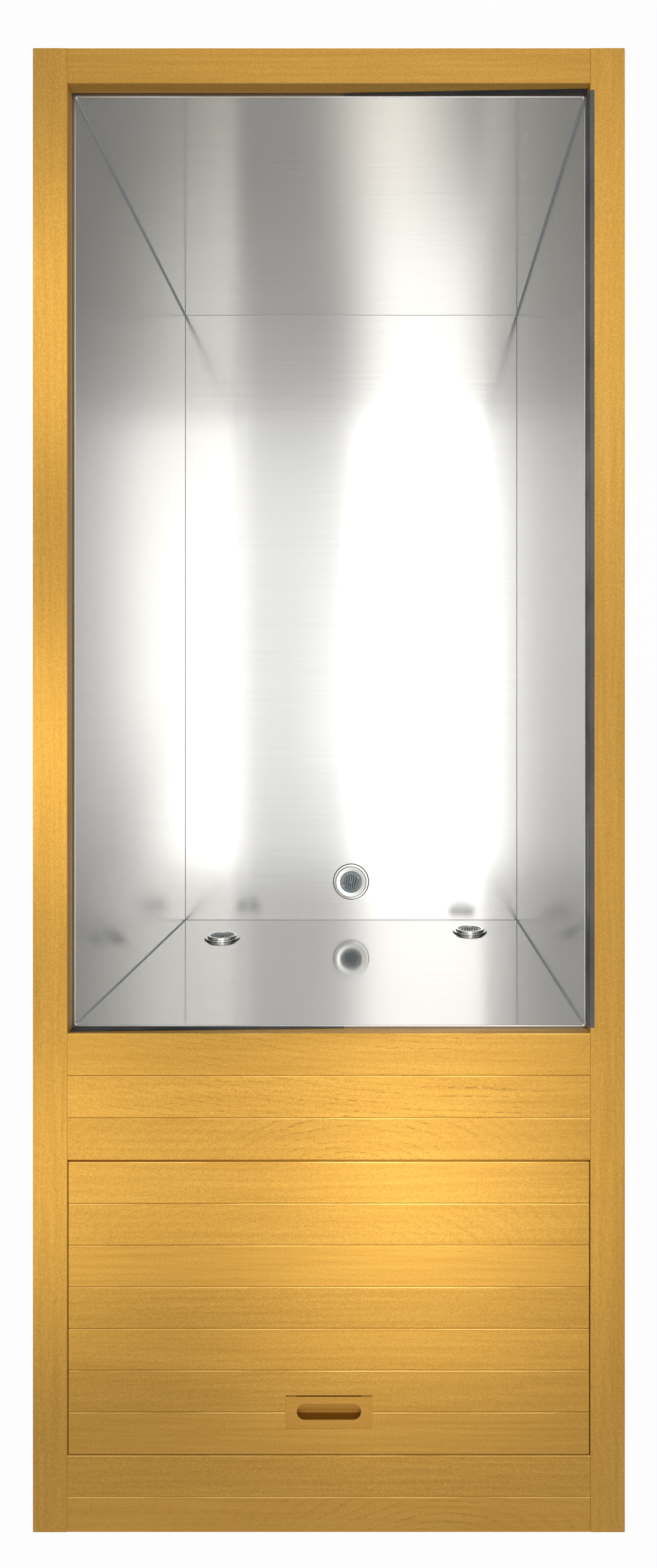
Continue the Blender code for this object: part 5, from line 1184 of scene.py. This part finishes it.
def pipe_run(route, unions=()):
    """A pipe along a route, with a nut and a collar where it goes into a socket in a direction."""
    bm = rod_along(route, PIPE, False)
    bmesh.ops.solidify(bm, geom=bm.faces, thickness=PIPE_WALL)
    for place, way in unions:
        add_ring(bm, place + way * LAP, -way, RING_BORE, NUT, NUT_LENGTH, NUT_SIDES)
        add_ring(bm, place - way * (NUT_LENGTH - LAP), -way, RING_BORE, COLLAR, COLLAR_LENGTH)
    return bm


def show_pipe(name, bm):
    """A white pipe takes the place of its CAD node."""
    return show(f"{name}_fitted", bm, "pvc_white", finish["pipe_plastic"], node=name)


FOAM_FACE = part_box("tub_insulation")[0].y
TAIL_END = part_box("suction_flange")[0].y
suction, return_place, drain = (fittings[name][0] for name in ("suction", "return", "drain"))
PUMP = Vector((suction.x, FOAM_FACE - 0.1750, 0.1500))
PUMP_TOP = Vector((PUMP.x, PUMP.y - 0.0675, PUMP.z + 0.1200))
FILTER = Vector((-0.0200, PUMP_TOP.y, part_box("filter_bowl")[0].z))
PORTS = 0.4000
EXCHANGER = Vector((return_place.x, PUMP_TOP.y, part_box("heat_exchanger")[0].z))

suction_end = Vector((suction.x, TAIL_END, suction.z))
corners = [suction_end + HEAD_WARD * IN_SOCKET, (suction.x, FOAM_FACE - 0.0583, suction.z)]
corners += [(suction.x, FOAM_FACE - 0.1167, PUMP.z), PUMP + FOOT_WARD * IN_SOCKET]
unions = [(suction_end, HEAD_WARD), (PUMP, FOOT_WARD)]
show_pipe("suction_pipe", pipe_run(rounded_route(corners, BEND), unions))

filter_in = Vector((FILTER.x - FILTER_PORT, FILTER.y, PORTS))
corners = [PUMP_TOP - UP * IN_SOCKET, (PUMP.x, PUMP_TOP.y, PORTS), filter_in + RIGHT * IN_SOCKET]
unions = [(PUMP_TOP, -UP), (filter_in, RIGHT)]
show_pipe("filter_pipe", pipe_run(rounded_route(corners, BEND), unions))

filter_out = Vector((FILTER.x + FILTER_PORT, FILTER.y, PORTS))
exchanger_in = Vector((EXCHANGER.x - EXCHANGER_PORT, EXCHANGER.y, PORTS))
bm = rod_along([filter_out - RIGHT * IN_SOCKET, exchanger_in + RIGHT * IN_SOCKET], PIPE, True)
between = (exchanger_in - filter_out).length
add_ring(bm, filter_out - RIGHT * LAP, RIGHT, RING_BORE, NUT, between + 2 * LAP, NUT_SIDES)
show_pipe("chiller_pipe", bm)

return_end = Vector((return_place.x, TAIL_END, return_place.z))
exchanger_out = Vector((EXCHANGER.x, EXCHANGER.y + EXCHANGER_PORT, return_place.z))
route = [exchanger_out + FOOT_WARD * IN_SOCKET, return_end + HEAD_WARD * IN_SOCKET]
unions = [(exchanger_out, FOOT_WARD), (return_end, HEAD_WARD)]
show_pipe("return_pipe", pipe_run(route, unions))

STEM = Vector((-0.1310, -0.9598, 0.0775))
drain_low, drain_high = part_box("drain_pipe")
turn_y = FOAM_FACE - 0.0450
corners = [(drain.x, drain.y, drain_high.z), (drain.x, drain.y, STEM.z)]
elbow = rounded_route(corners + [(drain.x, drain.y - 0.0360, STEM.z)], TIGHT_BEND)
corners = [elbow[-1], (drain.x, turn_y, STEM.z)]
corners += [(STEM.x, turn_y - 0.0900, STEM.z), (STEM.x, drain_low.y, STEM.z)]
bm = pipe_run(elbow + rounded_route(corners, BEND)[1:])
add_ring(bm, (STEM.x, drain_low.y + 0.0195, STEM.z), HEAD_WARD, RING_BORE, 20.8, 0.0300)
show_pipe("drain_pipe", bm)
print("pipes fitted; pump at", tuple(round(value, 4) for value in PUMP))

# %% [markdown]
# The pump has a moulded wet head with ribs and screws round its face, and a motor of painted cast metal. Fins
# carry the motor's heat away, so the motor gets a ring of thin eased blocks, a fan cover with slots at its
# back and a terminal box on top. The impeller inside the head is dressed as it is.

# %% Pump
FINS = 40
MOTOR_Y = PUMP.y - 0.2053
FOOT_TOP = 0.0650
BOX_HEIGHT = 0.0960
BOX_LID = 0.0080
section = [(BORE, 0), (TAIL, 0), (TAIL, -32), (26, -35), (68, -35.5), (79, -38), (85, -44), (85, -64)]
section += [(82.5, -65), (82.5, -86), (85, -87), (85, -100), (78, -100), (78, -42), (BORE, -42)]
bm = turned(section, PUMP, HEAD_WARD)
for spin in around(PUMP, HEAD_WARD, 8):
    add_block(bm, (0.028, -0.0025, -0.0365), (0.076, 0.0025, -0.0320), 0.0008, spin)
for spin in around(PUMP, HEAD_WARD, 8, 22.5):
    add_screw(bm, spin @ Vector((0.0735, 0.0, -0.0370)), HEAD_WARD, 0.0048)
add_rod(bm, PUMP_TOP - UP * 0.0400, PUMP_TOP, STUB)
show("pump_head_moulded", bm, "housing_plastic", housing, node="pump_head")

section = [(0, -160.3), (8.4, -160.3), (8.4, -100.3), (84, -100.3), (85, -101.3), (85, -109), (83, -110.5)]
section += [(64, -111), (61.5, -114), (61.5, -297), (64, -300), (70, -300.3), (71, -301.5), (71, -322)]
section += [(68, -328.5), (62, -330.3), (30, -330.3), (28, -328.8), (0, -328.8)]
bm = turned(section, PUMP, HEAD_WARD)
for spin in around(PUMP, HEAD_WARD, FINS, 180 / FINS):
    add_block(bm, (0.0600, -0.0011, -0.2940), (0.0658, 0.0011, -0.1170), 0.0005, spin)
for spin in around(PUMP, HEAD_WARD, 24):
    add_block(bm, (0.0330, -0.0015, -0.3322), (0.0590, 0.0015, -0.3300), 0.0006, spin)
for spin in around(PUMP, HEAD_WARD, 4, 45):
    add_screw(bm, spin @ Vector((0.0760, 0.0, -0.1103)), FOOT_WARD, 0.0050)
motor_foot = Matrix.Translation((PUMP.x, MOTOR_Y, 0.0))
add_block(bm, (-0.050, -0.060, 0.0553), (0.050, 0.060, FOOT_TOP), 0.0015, motor_foot)
for side in (-0.038, 0.038):
    add_block(bm, (side - 0.006, -0.055, 0.0600), (side + 0.006, 0.055, 0.1060), matrix=motor_foot)
for x in (-0.0465, 0.0465):
    for y in (-0.050, 0.050):
        add_screw(bm, motor_foot @ Vector((x, y, FOOT_TOP)), UP, 0.0032)
terminals = Matrix.Translation((PUMP.x, MOTOR_Y, PUMP.z))
add_block(bm, (-0.034, -0.030, 0.055), (0.034, 0.062, BOX_HEIGHT - BOX_LID), 0.0015, terminals)
add_block(bm, (-0.036, -0.032, BOX_HEIGHT - BOX_LID), (0.036, 0.064, BOX_HEIGHT), 0.0025, terminals)
for x in (-0.029, 0.029):
    for y in (-0.025, 0.057):
        add_screw(bm, terminals @ Vector((x, y, BOX_HEIGHT)), UP, 0.0028)
show("pump_motor_finned", bm, "motor_blue", finish["motor_paint"], node="pump_motor")
dress("pump_impeller", "grate_plastic", finish["grate_plastic"], 0.0004)
print("pump with", FINS, "fins")

# %% [markdown]
# The filter is a blue canister with upright ribs and a screw-down collar. Its cap turns a quarter, so it has
# eight grips round the edge and a bar across the top for the hand. The paper cartridge keeps its pleats.

# %% Filter
section = [(0, 0), (76, 0), (81, 2), (85, 7), (85, 368), (87, 374), (91, 382), (92, 385), (92, 398.5)]
section += [(90.5, 400), (79, 400), (79, 12), (0, 12)]
bm = turned(section, FILTER)
for spin in around(FILTER, UP, 16, 11.25):
    add_block(bm, (0.0835, -0.0022, 0.0180), (0.0876, 0.0022, 0.3250), 0.0010, spin)
for way in (RIGHT, -RIGHT):
    stub = Vector((FILTER.x, FILTER.y, PORTS)) + way * (FILTER_PORT - STUB_LENGTH)
    add_rod(bm, stub, stub + way * STUB_LENGTH, STUB)
    add_rod(bm, stub, stub + way * 0.0120, 0.0300, edge=0.0015, tip=0.0235)
show("filter_bowl_moulded", bm, "bowl_plastic", finish["bowl_plastic"], node="filter_bowl")

section = [(0, 385.3), (77, 385.3), (77, 400.3), (91, 400.3), (92, 401.3), (92, 415), (90, 419), (85, 422)]
section += [(70, 422.3), (66, 420.8), (40, 420.8), (34, 422.3), (0, 424)]
bm = turned(section, FILTER)
for spin in around(FILTER, UP, 8):
    add_block(bm, (0.0840, -0.0060, 0.4034), (0.0976, 0.0060, 0.4158), 0.0024, spin)
add_block(bm, (-0.060, -0.0070, 0.4200), (0.060, 0.0070, 0.4283), 0.0028, aimed(FILTER))
show("filter_cap_moulded", bm, "housing_plastic", housing, node="filter_cap")
dress("filter_cartridge", "filter_paper", finish["filter_paper"], 0.0)
print("filter at", tuple(round(value, 4) for value in FILTER))

# %% [markdown]
# The chiller works like a refrigerator. Its condenser is a stack of thin aluminium fins on one long copper
# tube that winds through them. The fan's blades are twisted: steep at the hub and flatter at the tip, as a
# moulded fan's are. The compressor is a welded steel can with a terminal cover, on rubber feet.

# %% Chiller
FIN_COUNT = 72
FIN_HALF = 0.0004
RUNS = 8
TUBE = 0.0046
TUBE_OUT = 0.0120
RUN_INSET = 0.0300
coil_low, coil_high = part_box("condenser")
coil = centre("condenser")
bm = bmesh.new()
for number in range(FIN_COUNT):
    x = coil_low.x + 0.004 + (coil_high.x - coil_low.x - 0.008) * number / (FIN_COUNT - 1)
    fin_low = Vector((x - FIN_HALF, coil_low.y + 0.001, coil_low.z + 0.003))
    add_block(bm, fin_low, (x + FIN_HALF, coil_high.y - 0.001, coil_high.z - 0.003), 0.0)
show("condenser_fins", bm, "aluminium_bar", finish["mill_aluminium"], node="condenser")

bm = bmesh.new()
for x in (coil_low.x + 0.0010, coil_high.x - 0.0010):
    add_block(bm, (x - 0.0009, coil_low.y, coil_low.z), (x + 0.0009, coil_high.y, coil_high.z), 0.0004)
for z in (coil_low.z + 0.0012, coil_high.z - 0.0012):
    plate_low = Vector((coil_low.x + 0.002, coil_low.y, z - 0.0010))
    add_block(bm, plate_low, (coil_high.x - 0.002, coil_high.y, z + 0.0010), 0.0004)
show("condenser_plates", bm, "galvanised", galvanised)

corners = []
for number in range(RUNS):
    z = coil_low.z + RUN_INSET + (coil_high.z - coil_low.z - 2 * RUN_INSET) * number / (RUNS - 1)
    ends = (coil_low.x - TUBE_OUT, coil_high.x + TUBE_OUT)
    corners += [(x, coil.y, z) for x in (ends if number % 2 else reversed(ends))]
bm = rod_along(rounded_route(corners, 0.0115), TUBE, True, 4)
show("condenser_tube", bm, "aluminium_bar", finish["copper_line"])

dress("fan_shroud", "machine_black", finish["machine_paint"], 0.0006)
FAN = Vector((coil.x, -0.9291, coil.z))
section = [(4.4, 0.3), (36, 0.3), (38, 2), (38, 20), (36.5, 21.7), (14, 21.7), (12, 19.5), (4.4, 19.5)]
bm = turned(section, FAN, HEAD_WARD, 48)
for spin in around(FAN, HEAD_WARD, 5):
    blade = bmesh.new()
    bmesh.ops.create_grid(blade, x_segments=8, y_segments=8, size=0.5)
    for vert in blade.verts:
        reach = vert.co.x + 0.5
        pitch = math.radians(26 - 11 * reach)
        chord = vert.co.y * (0.050 + 0.016 * reach)
        camber = 0.0035 * (1 - (2 * vert.co.y) ** 2)
        vert.co.x = 0.0360 + 0.0722 * reach - 0.004 * (2 * vert.co.y) ** 2 * reach
        vert.co.y = chord * math.cos(pitch) - camber * math.sin(pitch)
        vert.co.z = 0.0095 + chord * math.sin(pitch) + camber * math.cos(pitch)
    bmesh.ops.solidify(blade, geom=blade.faces, thickness=0.0018)
    bmesh.ops.recalc_face_normals(blade, faces=blade.faces)
    bmesh.ops.transform(blade, matrix=spin, verts=blade.verts)
    add_shape(bm, blade)
show("fan_rotor_moulded", bm, "housing_plastic", housing, node="fan_rotor")

COMPRESSOR = Vector((EXCHANGER.x - 0.0860, EXCHANGER.y - 0.1050, EXCHANGER.z))
section = [(0, 12), (40, 12), (61, 15), (64, 22), (64, 130), (65, 131), (65, 139), (64, 140), (64, 196)]
for step in range(1, 8):
    angle = math.radians(90 * step / 8)
    section.append((64 * math.cos(angle), 196 + 44 * math.sin(angle)))
section.append((0, 240))
bm = turned(section, COMPRESSOR)
add_block(bm, (-0.026, -0.072, 0.120), (0.026, -0.055, 0.190), 0.004, aimed(COMPRESSOR))
for spin in around(COMPRESSOR, UP, 3, 30):
    add_block(bm, (0.030, -0.013, 0.0060), (0.064, 0.013, 0.0100), 0.0010, spin)
show("compressor_can", bm, "machine_black", finish["machine_paint"], node="compressor")
bm = bmesh.new()
for spin in around(COMPRESSOR, UP, 3, 30):
    start = spin @ Vector((0.054, 0.0, 0.0002))
    add_rod(bm, start, start + UP * 0.0085, 0.0090, 24, 0.0015)
    add_screw(bm, start + UP * 0.0098, UP, 0.0050)
show("compressor_feet", bm, "rubber_seal", rubber)

section = [(0, 0), (58, 0), (60, 2), (60, 385), (58.5, 392), (54, 400), (46, 406), (34, 409), (0, 410)]
bm = turned(section, EXCHANGER)
for level in (70, 300):
    band = [(59.5, level), (61.6, level), (61.6, level + 14), (59.5, level + 14)]
    add_shape(bm, turned(band, EXCHANGER))
for way, port in ((-RIGHT, PORTS), (HEAD_WARD, return_place.z)):
    stub = Vector((EXCHANGER.x, EXCHANGER.y, port)) + way * (EXCHANGER_PORT - STUB_LENGTH)
    add_rod(bm, stub, stub + way * STUB_LENGTH, STUB)
show("heat_exchanger_moulded", bm, "housing_plastic", housing, node="heat_exchanger")
print("condenser with", FIN_COUNT, "fins, compressor at", tuple(round(value, 4) for value in COMPRESSOR))

# %% [markdown]
# Copper lines carry the refrigerant from the compressor to the condenser, and back through the heat
# exchanger. They are stiff drawn tubes, so rounded routes suit them.

# %% Refrigerant lines
LINE = 0.0042
top = COMPRESSOR + UP * 0.226
line_x = coil_low.x - 0.022
inlet_z = coil_high.z - RUN_INSET
hot_z, cold_z = top.z + 0.050, top.z + 0.085
hot = [top + Vector((-0.030, 0.010, -0.012)), top + Vector((-0.030, 0.010, 0.050))]
hot += [(line_x, top.y + 0.010, hot_z), (line_x, coil.y, hot_z), (line_x, coil.y, inlet_z)]
hot += [(coil_low.x - TUBE_OUT, coil.y, inlet_z)]
cold = [top + Vector((0.026, 0.012, -0.010)), top + Vector((0.026, 0.012, 0.085))]
cold += [(EXCHANGER.x, COMPRESSOR.y + 0.012, cold_z), (EXCHANGER.x, EXCHANGER.y - 0.052, cold_z)]
for name, corners, bend, radius in (("hot", hot, 0.0100, LINE), ("cold", cold, 0.0180, LINE * 1.4)):
    bm = rod_along(rounded_route(corners, bend), radius, True, 4)
    show(f"{name}_line", bm, "aluminium_bar", finish["copper_line"])
print("refrigerant lines ready")

# %% [markdown]
# The drain's valve is brass with a nut at each end and a cut thread on the outlet. Its lever is dipped in
# red plastic and held by a nut on the stem.

# %% Drain valve
VALVE = Vector((STEM.x, drain_low.y + 0.0190, STEM.z))
THREADS = 10
outlet_length = (VALVE.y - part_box("drain_valve")[0].y) * 1000
thread = outlet_length - 2 * THREADS
section = [(BORE, 0), (20.5, 0), (21.9, 1.5), (21.9, 15), (20.5, 17), (20.5, 50), (21.9, 52), (21.9, 66)]
section += [(20.5, 68), (16.4, 68), (16.4, thread)]
for turn in range(THREADS):
    section += [(15.5, thread + 1 + 2 * turn), (16.4, thread + 2 + 2 * turn)]
section += [(13.3, outlet_length), (13.3, 20), (BORE, 20)]
bm = turned(section, VALVE, FOOT_WARD, 48)
add_rod(bm, STEM + UP * 0.0175, STEM + UP * 0.0298, 0.0090, 6)
for start in (0.002, 0.053):
    add_ring(bm, VALVE + FOOT_WARD * start, FOOT_WARD, 20.0, 23.6, 0.0125, 8)
show("drain_valve_turned", bm, "valve_brass", finish["valve_brass"], node="drain_valve")

dress("drain_lever", "lever_red", finish["lever_coat"], 0.0012)
bm = bmesh.new()
add_rod(bm, STEM + UP * 0.0343, STEM + UP * 0.0393, 0.0070, 6, 0.0006)
add_rod(bm, STEM + UP * 0.0390, STEM + UP * 0.0425, 0.0036, 20, 0.0006)
show("drain_lever_nut", bm, "stainless", screw_steel, body="drain_handle")
print("drain valve with outlet of", round(outlet_length, 1), "mm")

# %% [markdown]
# The control box is a moulded case with a lid, a bare dark window and four screws. Its button has a dished
# top, a metal bezel and a round well below it, so that it can be pressed. A stiff grey conduit takes the
# wires from the box down to the motor's terminal box.

# %% Controls


def sink_well(bm, middle, radius, depth):
    """Cuts a round blind hole into the level face that a point lies on."""
    level = [face for face in bm.faces if face.normal.z > 0.99]
    level = [face for face in level if abs(face.verts[0].co.z - middle.z) < MERGE]
    top = max(level, key=lambda face: face.calc_area())
    outline = list(top.edges)
    bmesh.ops.delete(bm, geom=[top], context="FACES_ONLY")
    place = Matrix.Translation(middle)
    circle = bmesh.ops.create_circle(bm, cap_ends=False, segments=48, radius=radius, matrix=place)["verts"]
    mouth = list({edge for vert in circle for edge in vert.link_edges})
    bmesh.ops.triangle_fill(bm, use_beauty=True, edges=outline + mouth)
    verts, bottom = grown_ring(bm, mouth)
    for vert in verts:
        vert.co.z -= depth
    bmesh.ops.edgeloop_fill(bm, edges=bottom)
    bmesh.ops.recalc_face_normals(bm, faces=bm.faces)


box_low, box_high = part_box("control_box")
box_middle = centre("control_box")
BUTTON = Vector((box_middle.x, box_low.y + 0.0400, box_high.z))
lid = box_high.x - 0.0120
CASE_INSET = 0.010
bm = bmesh.new()
add_block(bm, box_low, (lid - 0.0010, box_high.y, box_high.z), 0.0030)
sink_well(bm, BUTTON, 0.0092, 0.0090)
joint_low = Vector((lid - 0.0040, box_low.y + 0.002, box_low.z + 0.002))
add_block(bm, joint_low, (lid + 0.002, box_high.y - 0.002, box_high.z - 0.002), 0.0)
add_block(bm, (lid, box_low.y, box_low.z), box_high, 0.0035)
for y in (box_low.y + CASE_INSET, box_high.y - CASE_INSET):
    for z in (box_low.z + CASE_INSET, box_high.z - CASE_INSET):
        add_screw(bm, (box_high.x - 0.0003, y, z), RIGHT, 0.0032)
gland = Vector((BUTTON.x - 0.0040, box_high.y - 0.0450, box_low.z))
add_rod(bm, gland + UP * 0.002, gland - UP * 0.012, 0.0120, 6)
show("control_box_moulded", bm, "housing_plastic", housing, node="control_box")

bm = bmesh.new()
pane_low = Vector((box_high.x - 0.001, box_middle.y - 0.045, box_low.z + 0.070))
add_block(bm, pane_low, (box_high.x + 0.0012, box_middle.y + 0.045, box_high.z - 0.024), 0.0006)
show("control_window", bm, "housing_plastic", finish["display_window"])

bm = bmesh.new()
add_ring(bm, BUTTON - UP * 0.0005, UP, 9.3, 12.0, 0.0024)
show("control_button_bezel", bm, "stainless", screw_steel)
section = [(0, -6), (8.9, -6), (8.9, 2.0), (8.3, 2.8), (7.4, 3.0), (5, 2.5), (0, 2.2)]
bm = turned(section, BUTTON, steps=48)
show("control_button_dished", bm, "button_grey", finish["button_plastic"], node="control_button")

motor_box = terminals @ Vector((-0.0150, 0.0160, BOX_HEIGHT))
corners = [gland - UP * 0.008, (gland.x, gland.y, 0.380), (gland.x, motor_box.y, 0.330)]
corners += [(motor_box.x, motor_box.y, 0.300), motor_box - UP * 0.002]
bm = rod_along(rounded_route(corners, 0.0200), 0.0080, True)
add_rod(bm, motor_box, motor_box + UP * 0.0100, 0.0120, 6)
show("motor_conduit", bm, "housing_plastic", finish["grey_conduit"])
print("controls ready, button at", tuple(round(value, 4) for value in BUTTON))

# %% [markdown]
# Two fittings show on the foot wall: the black vent grille over the fan and the mains inlet. Both keep their
# solids' shapes with eased edges, and get screws. The inlet's three contacts are metal, so their faces take
# another material.

# %% Foot wall fittings
VENT_INSET = 0.0085
INLET_INSET = 0.0065
dress("vent_grille", "machine_black", finish["machine_paint"], 0.0005)
vent_low, vent_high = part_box("vent_grille")
inlet_low, inlet_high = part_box("power_inlet")
inlet_middle = centre("power_inlet")


def wall_screw(bm, x, z, radius):
    """A screw in the foot wall, sunk until its head ends at the part's own outline."""
    add_screw(bm, (x, cad_box[0][1] + radius / 2, z), FOOT_WARD, radius)


bm = bmesh.new()
for x in (vent_low.x + VENT_INSET, vent_high.x - VENT_INSET):
    for z in (vent_low.z + VENT_INSET, centre("vent_grille").z, vent_high.z - VENT_INSET):
        wall_screw(bm, x, z, 0.0038)
for x in (inlet_low.x + INLET_INSET, inlet_high.x - INLET_INSET):
    wall_screw(bm, x, inlet_middle.z, 0.0030)
show("foot_wall_screws", bm, "stainless", screw_steel)

bm = merged_copy("power_inlet")
soften(bm, sharp_edges(bm), 0.0004)
socket = Vector((inlet_middle.x, inlet_low.y, inlet_middle.z))
for face in bm.faces:
    place = face.calc_center_median() - socket
    near = min(abs(place.x - step) for step in (-0.008, 0.0, 0.008))
    if near < 0.0016 and abs(place.z) < 0.0034 and 0.003 < place.y < 0.0176:
        face.material_index = 1
show("power_inlet_dressed", bm, "housing_plastic", housing, finish["valve_brass"], node="power_inlet")
bare = [node for node, obj in frame["nodes"].items() if not obj.hide_render]
print("nodes that still show their solids:", bare)
